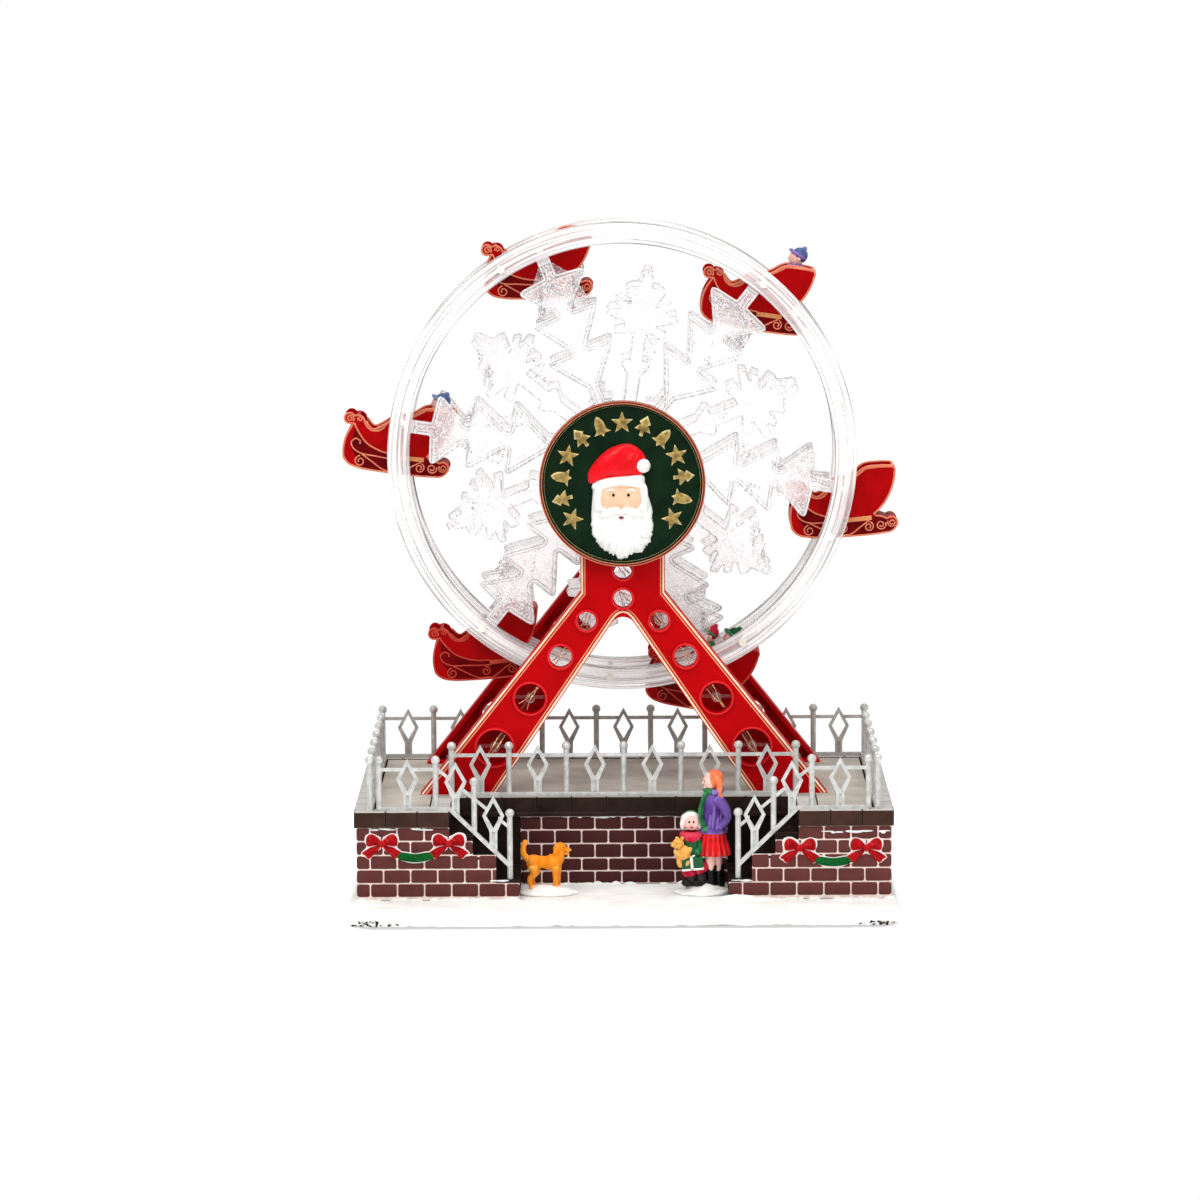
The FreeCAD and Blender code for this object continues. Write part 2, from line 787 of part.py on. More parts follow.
def make_dog():
    ground = size.snow_top
    along = as_size(-60.0)
    middle = as_size(-34.8)
    pieces = [
        upright_cone("dog_mound", 10.2, 9.2, (middle, along), ground, ground + 2.2),
        rod("dog_body", "x", 3.2, (along, ground + 13.4), middle - 5.2, middle + 4.4),
        ball("dog_rump", 3.9, (middle - 5.2, along, ground + 13.7), "x"),
        ball("dog_chest", 4.1, (middle + 4.4, along, ground + 14.4), "x"),
        ball("dog_head", 3.1, (middle + 6.0, along, ground + 19.4)),
        rod("dog_muzzle", "x", 1.5, (along, ground + 18.5), middle + 6.0, middle + 9.6),
        ball("dog_nose", 1.7, (middle + 9.6, along, ground + 18.4), "x"),
        upright_cone("dog_tail", 1.5, 0.9, (middle - 8.0, along), ground + 13.6, ground + 22.4),
        ball("dog_tail_tip", 1.1, (middle - 8.0, along, ground + 22.6)),
    ]
    for side in (-1, 1):
        spot = (middle + 4.8, along + side * 2.4, ground + 20.6)
        pieces.append(ball(f"dog_ear_{side + 1}", 1.5, spot, "y"))
    for index, (across, offset) in enumerate(((-5.8, -1.6), (-5.2, 1.6), (5.0, -1.6), (5.6, 1.6))):
        pieces.append(rod(f"dog_leg_{index}", "z", 1.2, (middle + across, along + offset), ground + 1.6, ground + 13))
    keep(fuse("dog", pieces), "dog")


# Frames

LAMP_PLACES = ((0.0, 147.8, 4.1), (0.0, 135.0, 4.1), (16.1, 125.0, 4.1), (27.8, 109.1, 4.9),
               (41.4, 90.4, 6.7), (57.2, 68.4, 8.0))


def lamp_places():
    places = []
    for across, up, radius in LAMP_PLACES:
        sides = (1,) if across == 0 else (-1, 1)
        places += [(side * across, up, radius) for side in sides]
    return places


def frame_screw_places():
    front = size.frame_front + size.frame_depth / 2
    rear = front + size.frame_depth + size.frame_gap
    return [(side * across, along) for along in (front, rear) for side in (-1, 1) for across in (67.0, 81.0)]


def edge_near(shape, across, up):
    """The name of the edge along Y that stands nearest to a point of the front view."""
    best = None
    for index, edge in enumerate(shape.Edges, start=1):
        bounds = edge.BoundBox
        if bounds.YLength < 1 or bounds.XLength > 0.01 or bounds.ZLength > 0.01:
            continue
        distance = math.hypot(bounds.XMin - across, bounds.ZMin - up)
        if best is None or distance < best[0]:
            best = (distance, f"Edge{index}")
    return best[1]


def make_front_frame():
    body = new_body("front_frame")
    front = size.frame_front
    back = front + size.frame_depth
    foot = size.deck_top
    outline = [
        (size.foot_half_width, foot),
        (size.column_half_width, size.splay_height),
        (size.column_half_width, size.column_round_height),
        (-size.column_half_width, size.column_round_height),
        (-size.column_half_width, size.splay_height),
        (-size.foot_half_width, foot),
        (-size.inner_foot_half_width, foot),
        (as_size(0), size.arch_apex),
        (size.inner_foot_half_width, foot),
    ]
    pad(body, "XZ_Plane", [outline], front, back)
    top = pad(body, "XZ_Plane", [Circle(0, size.column_round_height, size.column_half_width)], front, back)
    doc.recompute()
    arch = body.newObject("PartDesign::Fillet", "arch_round")
    arch.Base = (top, [edge_near(top.Shape, 0, DRIVING_SIZES["arch_apex"])])
    bind(arch, "Radius", size.arch_round)
    doc.recompute()
    open_side = [index for index, face in enumerate(arch.Shape.Faces, start=1)
                 if face.BoundBox.YLength < 0.01 and abs(face.BoundBox.YMin - back.value) < 0.01]
    shell = body.newObject("PartDesign::Thickness", "frame_shell")
    shell.Base = (arch, [f"Face{open_side[0]}"])
    bind(shell, "Value", size.frame_skin)
    shell.Reversed = True
    shell.Join = 1
    doc.recompute()
    inside = front + size.frame_skin
    sleeves = []
    for across, up, radius in lamp_places():
        sleeves.append(Circle(across, up, radius + size.lamp_sleeve))
    pad(body, "XZ_Plane", sleeves, front - size.lamp_rim_proud, inside + 3.2)
    pocket(body, "XZ_Plane", [Circle(across, up, radius) for across, up, radius in lamp_places()],
           front - 2, inside + 5)
    pocket(body, "XZ_Plane", [Circle(0, size.axle_height, 3.5)], front - 1, inside + 1)
    holes = [Circle(across, front + size.frame_depth / 2, 1.35) for across in (-81, -67, 67, 81)]
    pocket(body, "XY_Plane", holes, foot - 1, foot + 4)
    keep(body, "front_frame")
    middle = front + size.frame_depth + size.frame_gap / 2
    keep(mirror("rear_frame", body, Y_AXIS, "y", middle), "rear_frame")


def make_frame_fittings():
    screws = []
    for index, (across, along) in enumerate(frame_screw_places()):
        under = size.deck_top - size.deck_skin
        head = rod(f"frame_screw_head_{index}", "z", 2.6, (across, along), under - 1.4, under)
        shank = rod(f"frame_screw_shank_{index}", "z", 1.3, (across, along), under - 1, size.deck_top + 3.5)
        screws.append(fuse(f"frame_screw_{index}", [head, shank]))
    keep(group("frame_screws", screws), "frame_screws")


def lamp_string(name, mirrored):
    """Clear lamps on cross bars behind the holes, joined by their wires."""
    wire = size.frame_front + size.frame_depth - 2.0
    bar = size.frame_front + size.frame_skin + 3.2
    left = sorted((spot for spot in lamp_places() if spot[0] < 0), key=lambda spot: spot[1])
    right = sorted((spot for spot in lamp_places() if spot[0] > 0), key=lambda spot: -spot[1])
    top, low = sorted((spot for spot in lamp_places() if spot[0] == 0), key=lambda spot: -spot[1])
    pieces = []
    for across, up, radius in lamp_places():
        reach = radius + DRIVING_SIZES["lamp_sleeve"] * 0.8
        pieces.append(Part.makeBox(reach * 2, 1.2, 1.4, Vector(across - reach, bar.value, up - 0.7)))
        pieces.append(Part.makeCylinder(2.1, (wire - bar).value + 4.0, Vector(across, bar.value - 4.0, up), Y_AXIS))
        pieces.append(Part.makeSphere(2.1, Vector(across, bar.value - 4.0, up)))
    route = left + [low] + right
    for begin, end in list(zip(route, route[1:])) + [(top, low)]:
        start = Vector(begin[0], wire.value - 0.6, begin[1])
        finish = Vector(end[0], wire.value - 0.6, end[1])
        pieces.append(Part.makeCylinder(0.55, (finish - start).Length, start, finish - start))
    shape = pieces[0].multiFuse(pieces[1:])
    if mirrored:
        middle_plane = size.frame_front + size.frame_depth + size.frame_gap / 2
        shape = shape.mirror(Vector(0, middle_plane.value, 0), Y_AXIS)
    keep(solid(name, shape), name)


# Medallion


def star_points(points, outer, inner):
    corners = []
    for index in range(points * 2):
        reach = outer if index % 2 == 0 else inner
        turn = math.radians(90 + 180 * index / points)
        corners.append((reach * math.cos(turn), reach * math.sin(turn)))
    return corners


TREE = [(0, 4.2), (-2.2, 1.4), (-1.1, 1.4), (-3.1, -1.6), (-0.7, -1.6), (-0.7, -3.6),
        (0.7, -3.6), (0.7, -1.6), (3.1, -1.6), (1.1, 1.4), (2.2, 1.4)]
BELL = [(0, 4.0), (-0.9, 3.2), (-1.7, 1.6), (-2.0, -1.2), (-3.2, -2.6), (-0.9, -2.6), (0, -3.8),
        (0.9, -2.6), (3.2, -2.6), (2.0, -1.2), (1.7, 1.6), (0.9, 3.2)]
MOTIF_COUNT = 13
MOTIF_SPREAD = 250.0
MOTIF_RING = 27.0
MOTIF_SCALE = 1.2


def make_medallion():
    front = size.medallion_front
    back = front + size.medallion_thick
    centre = (as_size(0), size.medallion_height)
    inner = size.medallion_radius - size.medallion_rim
    plate = rod("medallion_plate", "y", inner, centre, front + 0.8, back)
    posts = [rod(f"medallion_post_{index}", "y", 4, (as_size(0), size.medallion_height + rise), back - 0.5,
                 size.frame_front) for index, rise in enumerate((-14.0, 18.0))]
    keep(fuse("medallion_disc", [plate] + posts), "medallion_disc")
    outer_ring = rod("rim_outer", "y", size.medallion_radius, centre, front - 0.6, back)
    ring_hole = rod("rim_hole", "y", inner, centre, front - 2, back + 2)
    keep(cut("medallion_rim", outer_ring, ring_hole), "medallion_rim")
    face = front + 0.8
    pieces = []
    for index in range(MOTIF_COUNT):
        turn = 90 + MOTIF_SPREAD / 2 - MOTIF_SPREAD * index / (MOTIF_COUNT - 1)
        pattern = (star_points(5, 4.2, 1.8), TREE, BELL)[index % 3]
        corners = [Vector(across, 0, up) * MOTIF_SCALE for across, up in pattern]
        prism = Part.Face(Part.makePolygon(corners + corners[:1])).extrude(Vector(0, -0.9, 0))
        prism.rotate(Vector(), Y_AXIS, 90 - turn)
        reach = math.radians(turn)
        prism.translate(Vector(MOTIF_RING * math.cos(reach), face.value,
                               size.medallion_height.value + MOTIF_RING * math.sin(reach)))
        pieces.append(prism)
    keep(solid("medallion_ornaments", Part.makeCompound(pieces)), "medallion_ornaments")
    relief = [
        egg("relief_face", (10.2, 2.8, 9.0), (as_size(-0.6), face, as_size(180.6))),
        egg("relief_beard", (14.0, 3.2, 13.6), (as_size(-0.2), face, as_size(169.6))),
        egg("relief_beard_tip", (7.0, 2.6, 7.4), (as_size(-0.2), face, as_size(161.6))),
        egg("relief_nose", (2.2, 4.4, 1.7), (as_size(-0.6), face, as_size(178.4))),
        egg("relief_cap", (11.6, 3.4, 11.4), (as_size(-1.6), face, as_size(191.2))),
        egg("relief_cap_fall", (5.2, 3.0, 4.4), (as_size(6.2), face, as_size(196.0))),
        egg("relief_brim", (12.2, 4.0, 2.4), (as_size(-2.0), face, as_size(188.6))),
        ball("relief_pompom", 3.1, (as_size(9.5), face, as_size(194.9))),
    ]
    whole = fuse("relief_whole", relief)
    behind = box("relief_behind", (-30, 30), (face, face + 8), (140, 215))
    keep(cut("medallion_head", whole, behind), "medallion_head")


# Wheel


def wheel_levels():
    """Front and rear level of the pair of rings."""
    middle = size.frame_front + size.frame_depth + size.frame_gap / 2
    return middle - size.ring_pair_depth / 2, middle + size.ring_pair_depth / 2


def rounded_slab(corners, thick):
    """A polygon of the wheel's plane, thickened to the rear; corners are (along, aside, radius)."""
    places = [Vector(along, 0, aside) for along, aside, _ in corners]
    bends = []
    for index, corner in enumerate(places):
        radius = corners[index][2]
        before = (places[index - 1] - corner).normalize()
        after = (places[(index + 1) % len(places)] - corner).normalize()
        half = before.getAngle(after) / 2
        reach = radius / math.tan(half)
        middle = corner + (before + after).normalize() * (radius / math.sin(half) - radius)
        bends.append((corner + before * reach, middle, corner + after * reach))
    edges = []
    for index, (begin, middle, end) in enumerate(bends):
        edges.append(Part.LineSegment(bends[index - 1][2], begin).toShape())
        if corners[index][2]:
            edges.append(Part.Arc(begin, middle, end).toShape())
    return Part.Face(Part.Wire(edges)).extrude(Vector(0, thick, 0))


# One side of each arm: distance from the axle, distance from the arm's middle line, corner radius

LONG_ARM = ((8.0, 2.9, 0), (20.0, 2.9, 0.6), (25.2, 6.2, 1.0), (26.6, 5.4, 0.8), (27.2, 2.9, 0.6),
            (34.0, 2.9, 0.8), (51.4, 16.8, 2.2), (51.4, 4.2, 0.6), (52.8, 4.4, 0.4),
            (69.2, 16.4, 2.2), (69.2, 4.0, 0.6), (71.2, 4.2, 0.6),
            (85.0, 17.1, 2.2), (86.4, 2.9, 0.8), (96.6, 2.9, 0))
SHORT_ARM = ((8.0, 3.0, 0), (36.5, 3.0, 0.6), (41.5, 6.6, 1.0), (43.4, 5.6, 0.9), (44.2, 3.0, 0.6),
             (56.6, 3.0, 0.5), (53.6, 11.2, 1.3), (58.4, 11.6, 1.0), (59.8, 6.4, 0.6),
             (62.4, 16.6, 1.2), (65.8, 15.0, 1.0), (65.6, 10.0, 0.4), (68.2, 13.4, 1.0),
             (70.6, 10.6, 1.0), (68.2, 5.2, 0.6), (74.6, 9.2, 1.0), (76.6, 6.0, 0.8),
             (76.8, 3.8, 0.5), (84.6, 1.6, 1.0))


def flake_arm(side, thick):
    """An arm from one side of its outline and the mirror image of that."""
    return rounded_slab(list(side) + [(along, -aside, radius) for along, aside, radius in side[::-1]], thick)


def make_flake(thick):
    """Six long arms that reach the ring and six short arms that end in a crystal."""
    pieces = []
    for shape, shift in ((flake_arm(LONG_ARM, thick), 0), (flake_arm(SHORT_ARM, thick), 30)):
        for angle in SLEIGH_ANGLES:
            turned = shape.copy()
            turned.rotate(Vector(), Y_AXIS, -(angle + shift))
            pieces.append(turned)
    flake = pieces[0].multiFuse(pieces[1:])
    return flake.removeSplitter()


def make_wheel_plates(ring_front, middle):
    """The front ring with its snowflake; the rear one is its mirror image."""
    centre = (as_size(0), size.axle_height)
    thick = size.ring_thick
    flake_front = ring_front + (thick - size.flake_thick) / 2
    outer = rod("ring_outer", "y", size.ring_outer, centre, ring_front, ring_front + thick)
    hole = rod("ring_hole", "y", size.ring_inner, centre, ring_front - 1, ring_front + thick + 1)
    ring = cut("ring", outer, hole)
    disc = rod("hub_disc", "y", size.hub_disc_radius, centre, flake_front, flake_front + size.flake_thick)
    flake = solid("flake", make_flake(DRIVING_SIZES["flake_thick"]))
    flake.Placement = Placement(Vector(0, flake_front.value, DRIVING_SIZES["axle_height"]), Rotation())
    whole = fuse("wheel_plate", [ring, disc, flake])
    bore = rod("wheel_bore", "y", size.axle_radius, centre, flake_front - 1, flake_front + 6)
    plate = keep(cut("front_wheel", whole, bore), "front_wheel")
    keep(mirror("rear_wheel", plate, Y_AXIS, "y", middle), "rear_wheel")


LIGHT_COUNT = 10
LIGHT_CIRCLE = 99.6
LIGHT_START = 14.6


def make_wheel():
    front, rear = wheel_levels()
    side = (size.ring_thick - size.flake_thick) / 2
    centre = (as_size(0), size.axle_height)
    make_wheel_plates(front, (front + rear) / 2)
    hub_front = front + side + size.flake_thick
    hub_rear = rear - side - size.flake_thick
    barrel = fuse("hub_barrel", [
        rod("hub_tube", "y", size.hub_radius, centre, hub_front, hub_rear),
        rod("hub_front_flange", "y", 12.0, centre, hub_front, hub_front + 1.6),
        rod("hub_rear_flange", "y", 12.0, centre, hub_rear - 1.6, hub_rear),
    ])
    keep(cut("wheel_hub", barrel, rod("hub_bore", "y", size.axle_radius, centre, hub_front - 1, hub_rear + 1)),
         "wheel_hub")
    lights = []
    for index in range(LIGHT_COUNT):
        turn = math.radians(LIGHT_START + 360 * index / LIGHT_COUNT)
        spot = (as_size(LIGHT_CIRCLE * math.cos(turn)), size.axle_height + LIGHT_CIRCLE * math.sin(turn))
        lights.append(rod(f"front_light_{index}", "y", 1.7, spot, front - 1.3, front))
        lights.append(rod(f"rear_light_{index}", "y", 1.7, spot, rear, rear + 1.3))
    keep(group("ring_lights", lights), "ring_lights")
    bush_reach = size.frame_front + size.frame_depth - 1.2
    bushes = []
    for index, (low, high, flange) in enumerate(bush_levels()):
        sleeve = rod(f"bush_sleeve_{index}", "y", 3.5, centre, low, high)
        collar = rod(f"bush_flange_{index}", "y", 5.0, centre, flange, flange + 1.2)
        body = fuse(f"bush_body_{index}", [sleeve, collar])
        bore = rod(f"bush_bore_{index}", "y", size.axle_radius + size.running_gap, centre, low - 1, high + 1)
        bushes.append(cut(f"bush_{index}", body, bore))
    keep(group("axle_bushes", bushes), "axle_bushes")
    shaft = rod("axle_shaft", "y", size.axle_radius, centre, size.frame_front - 1.6, gear_level() + 6)
    spacer_front = rod("spacer_front", "y", 3.6, centre, bush_reach + 0.5, front + side)
    rear_bush = size.frame_front + size.frame_depth + size.frame_gap + 1.2
    spacer_rear = rod("spacer_rear", "y", 3.6, centre, rear - side, rear_bush - 0.5)
    keep(fuse("axle", [shaft, spacer_front, spacer_rear]), "axle")


def bush_levels():
    """Low end, high end and flange level of the front and the rear axle bush."""
    front = size.frame_front
    rear = front + size.frame_depth * 2 + size.frame_gap
    reach = size.frame_depth - 1.2
    return ((front, front + reach, front + size.frame_skin),
            (rear - reach, rear, rear - size.frame_skin - 1.2))


# Sleighs

FLOOR_LEVEL = -15.4
BENCH_LEVEL = -10.6


def arc(begin, middle, end):
    return Part.Arc(*(Vector(across, 0, up) for across, up in (begin, middle, end))).toShape()


def sleigh_side_face():
    """The side of a sleigh seen from the front, with the pivot at its origin."""
    keel = [(-24.9, -17.2), (-22.6, -20.0), (-18.6, -21.6), (-10, -22.6), (0, -23.1), (10, -23.3), (17.5, -23.0)]
    curve = Part.BSplineCurve()
    curve.interpolate([Vector(across, 0, up) for across, up in keel])
    edges = [
        arc((-21.6, -2.0), (-25.8, 0.6), (-20.9, 2.0)),
        arc((-20.9, 2.0), (-18.2, 2.2), (-15.9, -0.6)),
        arc((-15.9, -0.6), (-12.3, -3.9), (-7.2, -1.2)),
        arc((-7.2, -1.2), (-2.4, 2.3), (2.6, 2.4)),
        arc((2.6, 2.4), (5.6, 4.0), (10.6, 7.2)),
        arc((10.6, 7.2), (17.0, 7.5), (23.4, 6.9)),
        arc((23.4, 6.9), (24.2, 5.9), (24.1, 4.0)),
        arc((24.1, 4.0), (20.6, -6.0), (13.0, -14.2)),
        arc((13.0, -14.2), (16.4, -15.0), (18.4, -16.0)),
        arc((18.4, -16.0), (22.6, -16.6), (22.4, -20.6)),
        arc((22.4, -20.6), (20.4, -22.4), (17.5, -23.0)),
        curve.toShape(),
        arc((-24.9, -17.2), (-25.2, -12.0), (-21.6, -2.0)),
    ]
    return Part.Face(Part.Wire(Part.sortEdges(edges)[0]))


def sleigh_hollow_face(top):
    """The inside of the tub, open at the top: dash, floor, bench and seat back."""
    corners = [(-18.6, top), (-18.8, -3.4), (-20.6, -9.0), (-21.4, -13.0), (-19.4, FLOOR_LEVEL),
               (4.4, FLOOR_LEVEL), (5.2, BENCH_LEVEL), (15.2, BENCH_LEVEL), (19.8, -3.6), (22.3, 3.4), (22.9, top)]
    points = [Vector(across, 0, up) for across, up in corners]
    return Part.Face(Part.makePolygon(points + points[:1]))


def place_on_wheel(shape, index):
    """Hangs a shape made about the pivot in its place on the wheel, with its tilt at rest."""
    middle = size.frame_front + size.frame_depth + size.frame_gap / 2
    angle = math.radians(SLEIGH_ANGLES[index])
    reach = DRIVING_SIZES["pivot_circle"]
    hung = shape.copy()
    hung.rotate(Vector(), Y_AXIS, -SLEIGH_TILTS[index])
    hung.translate(Vector(reach * math.cos(angle), middle.value,
                          DRIVING_SIZES["axle_height"] + reach * math.sin(angle)))
    return hung


def make_sleigh_shape():
    half = DRIVING_SIZES["sleigh_width"] / 2
    inner_half = half - DRIVING_SIZES["sleigh_side"]
    tub = sleigh_side_face().extrude(Vector(0, half * 2, 0))
    tub.translate(Vector(0, -half, 0))
    hollow = sleigh_hollow_face(12).extrude(Vector(0, inner_half * 2, 0))
    hollow.translate(Vector(0, -inner_half, 0))
    tub = tub.cut(hollow)
    dash_opening = Part.makeBox(20, inner_half * 2, 12, Vector(-40, -inner_half, -8.5))
    tub = tub.cut(dash_opening)
    runner_gap = Part.makeBox(50, inner_half * 2, 12, Vector(-22, -inner_half, FLOOR_LEVEL - 13.4))
    tub = tub.cut(runner_gap)
    hole = Part.makeCylinder(DRIVING_SIZES["pin_radius"] + DRIVING_SIZES["running_gap"], half * 4,
                             Vector(0, -half * 2, 0), Y_AXIS)
    return tub.cut(hole)


# For each rider of a sleigh: seat place along it, height of the head's centre, lean of the head to the rear
RIDERS = {
    2: ((14.6, 10.4, 2.6),),
    4: ((14.2, 9.4, 2.4),),
    6: ((0.0, 10.0, 0.8), (10.8, 10.0, 0.8)),
}


def make_rider_shape(seat, head_height, lean):
    """A seated child in the tub: legs forward, coat, head and cap."""
    head = 4.1
    floor = BENCH_LEVEL if seat > 5 else FLOOR_LEVEL
    half = DRIVING_SIZES["sleigh_width"] / 2 - DRIVING_SIZES["sleigh_side"]
    coat = Part.makeCone(4.9, 3.1, head_height - 3.0 - floor, Vector(seat, 0, floor), Z_AXIS)
    lap = Part.makeBox(7.4, 7.2, 4.4, Vector(seat - 8.4, -3.6, floor))
    shins = Part.makeBox(3.0, 6.4, floor + 4.4 - FLOOR_LEVEL, Vector(seat - 9.6, -3.2, FLOOR_LEVEL))
    ball_head = Part.makeSphere(head, Vector(seat + lean - 0.4, 0, head_height))
    cap = Part.makeSphere(head + 0.35, Vector(seat + lean + 0.2, 0, head_height + 1.6))
    child = coat.multiFuse([lap, shins, ball_head, cap])
    room = sleigh_hollow_face(40).extrude(Vector(0, half * 2, 0))
    room.translate(Vector(0, -half, 0))
    return child.common(room).removeSplitter()


def make_sleighs():
    sleigh = make_sleigh_shape()
    for index in range(len(SLEIGH_ANGLES)):
        name = f"sleigh_{index + 1}"
        keep(solid(name, place_on_wheel(sleigh, index)), name)
    for number, seats in RIDERS.items():
        children = [make_rider_shape(*sitting) for sitting in seats]
        name = f"riders_{number}"
        keep(solid(name, place_on_wheel(Part.makeCompound(children), number - 1)), name)
    front, rear = wheel_levels()
    middle = (front + rear) / 2
    pins = []
    for index, angle in enumerate(SLEIGH_ANGLES):
        turn = math.radians(angle)
        spot = (size.pivot_circle * math.cos(turn), size.axle_height + size.pivot_circle * math.sin(turn))
        inner = size.sleigh_width / 2 - size.sleigh_side
        outer = size.sleigh_width / 2 + 0.5
        pins.append(fuse(f"front_pin_{index}", [
            rod(f"front_pin_shank_{index}", "y", size.pin_radius, spot, front + size.ring_thick, middle - inner),
            rod(f"front_pin_step_{index}", "y", 2.2, spot, front + size.ring_thick, middle - outer),
        ]))
        pins.append(fuse(f"rear_pin_{index}", [
            rod(f"rear_pin_shank_{index}", "y", size.pin_radius, spot, middle + inner, rear - size.ring_thick),
            rod(f"rear_pin_step_{index}", "y", 2.2, spot, middle + outer, rear - size.ring_thick),
        ]))
    keep(group("pivot_pins", pins), "pivot_pins")


# Drive


def gear_level():
    """Front level of the axle gear, behind the chassis plate."""
    return size.frame_front + size.frame_depth * 2 + size.frame_gap + 2.4


def idler_place():
    reach = DRIVING_SIZES["gear_module"] * (AXLE_TEETH + IDLER_SMALL_TEETH) / 2
    turn = math.radians(IDLER_DIRECTION)
    return reach * math.cos(turn), DRIVING_SIZES["axle_height"] + reach * math.sin(turn)


def pinion_place():
    reach = DRIVING_SIZES["gear_module"] * (IDLER_LARGE_TEETH + PINION_TEETH) / 2
    turn = math.radians(PINION_DIRECTION)
    across, up = idler_place()
    return across + reach * math.cos(turn), up + reach * math.sin(turn)


def gear_shape(teeth, tooth_at, low, high):
    """A spur gear about the Y axis with the middle of one tooth at the given direction."""
    module = DRIVING_SIZES["gear_module"]
    pitch = module * teeth / 2
    root = pitch - module * 1.2
    tip = pitch + module * 0.9
    flank = ((root, 0.31), (pitch, 0.225), (tip, 0.11))
    points = []
    for index in range(teeth):
        centre = math.radians(tooth_at) + 2 * math.pi * index / teeth
        share = 2 * math.pi / teeth
        for side, places in ((-1, flank), (1, flank[::-1])):
            for reach, half in places:
                turn = centre + side * half * share
                points.append(Vector(reach * math.cos(turn), low, reach * math.sin(turn)))
    face = Part.Face(Part.makePolygon(points + points[:1]))
    return face.extrude(Vector(0, high - low, 0))


def moved(shape, across, up):
    shape.translate(Vector(across, 0, up))
    return shape


def make_drive():
    rear = size.frame_front + size.frame_depth * 2 + size.frame_gap
    level = gear_level()
    thick = size.gear_thick
    second = level + thick + 0.6
    centre = (as_size(0), size.axle_height)
    housing = (as_size(0), size.cover_height)
    plate = rod("chassis_disc", "y", size.cover_radius - size.cover_wall - 0.2, housing, rear, rear + 1.6)
    chassis_hole = rod("chassis_hole", "y", 4.2, centre, rear - 1, rear + 3)
    across, up = idler_place()
    pin_hole = rod("chassis_pin_hole", "y", 1.0, (as_size(across), as_size(up)), rear - 1, rear + 3)
    top_lamp = max(lamp_places(), key=lambda spot: spot[1])
    lamp_room = top_lamp[2] + size.lamp_sleeve + 0.3
    lamp_spot = (as_size(0), as_size(top_lamp[1]))
    plate_notch = rod("chassis_lamp_notch", "y", lamp_room, lamp_spot, rear - 1, rear + 3)
    holes = fuse("chassis_holes", [chassis_hole, pin_hole, plate_notch])
    keep(cut("gearbox_chassis", plate, holes), "gearbox_chassis")
    keep(rod("idler_pin", "y", 1.0, (as_size(across), as_size(up)), rear, second + thick + 1.0), "idler_pin")
    outer = rod("cover_outer", "y", size.cover_radius, housing, rear, rear + size.cover_depth)
    inner = rod("cover_inner", "y", size.cover_radius - size.cover_wall, housing, rear - 1,
                rear + size.cover_depth - size.cover_wall)
    cover_notch = rod("cover_lamp_notch", "y", lamp_room, lamp_spot, rear - 1, rear + 1.1)
    hollow = fuse("cover_hollow", [inner, cover_notch])
    keep(cut("gearbox_cover", outer, hollow), "gearbox_cover")
    axle_gear = gear_shape(AXLE_TEETH, IDLER_DIRECTION, level.value, (level + thick).value)
    boss = Part.makeCylinder(5, 2.0, Vector(0, (level + thick).value, 0), Y_AXIS)
    bore = Part.makeCylinder(DRIVING_SIZES["axle_radius"], 20, Vector(0, level.value - 5, 0), Y_AXIS)
    axle_gear = axle_gear.fuse(boss).cut(bore)
    keep(solid("axle_gear", moved(axle_gear, 0, DRIVING_SIZES["axle_height"])), "axle_gear")
    small_tooth = IDLER_DIRECTION + 180 + 180 / IDLER_SMALL_TEETH
    small = gear_shape(IDLER_SMALL_TEETH, small_tooth, level.value, (level + thick).value)
    large = gear_shape(IDLER_LARGE_TEETH, PINION_DIRECTION, second.value, (second + thick).value)
    neck = Part.makeCylinder(3.0, (second - level).value, Vector(0, level.value, 0), Y_AXIS)
    idler_bore = Part.makeCylinder(1.0 + DRIVING_SIZES["running_gap"], 40, Vector(0, level.value - 5, 0), Y_AXIS)
    idler = small.multiFuse([neck, large]).cut(idler_bore)
    keep(solid("idler_gear", moved(idler, across, up)), "idler_gear")
    motor_across, motor_up = pinion_place()
    pinion_tooth = PINION_DIRECTION + 180 + 180 / PINION_TEETH
    pinion = gear_shape(PINION_TEETH, pinion_tooth, second.value, (second + thick).value)
    shaft = Part.makeCylinder(1.0, 9.0, Vector(0, second.value, 0), Y_AXIS)
    keep(solid("motor_pinion", moved(pinion.fuse(shaft), motor_across, motor_up)), "motor_pinion")
    motor_front = second + thick + 1.2
    motor_place = (as_size(motor_across), as_size(motor_up))
    can = rod("motor_can", "y", 10.0, motor_place, motor_front, motor_front + 11.5)
    tail = rod("motor_tail", "y", 5.0, motor_place, motor_front + 11, rear + size.cover_depth - size.cover_wall)
    shaft_bore = rod("motor_bore", "y", 1.05, motor_place, motor_front - 1, motor_front + 7)
    keep(cut("drive_motor", fuse("motor_whole", [can, tail]), shaft_bore), "drive_motor")


# Batteries, sound and switch


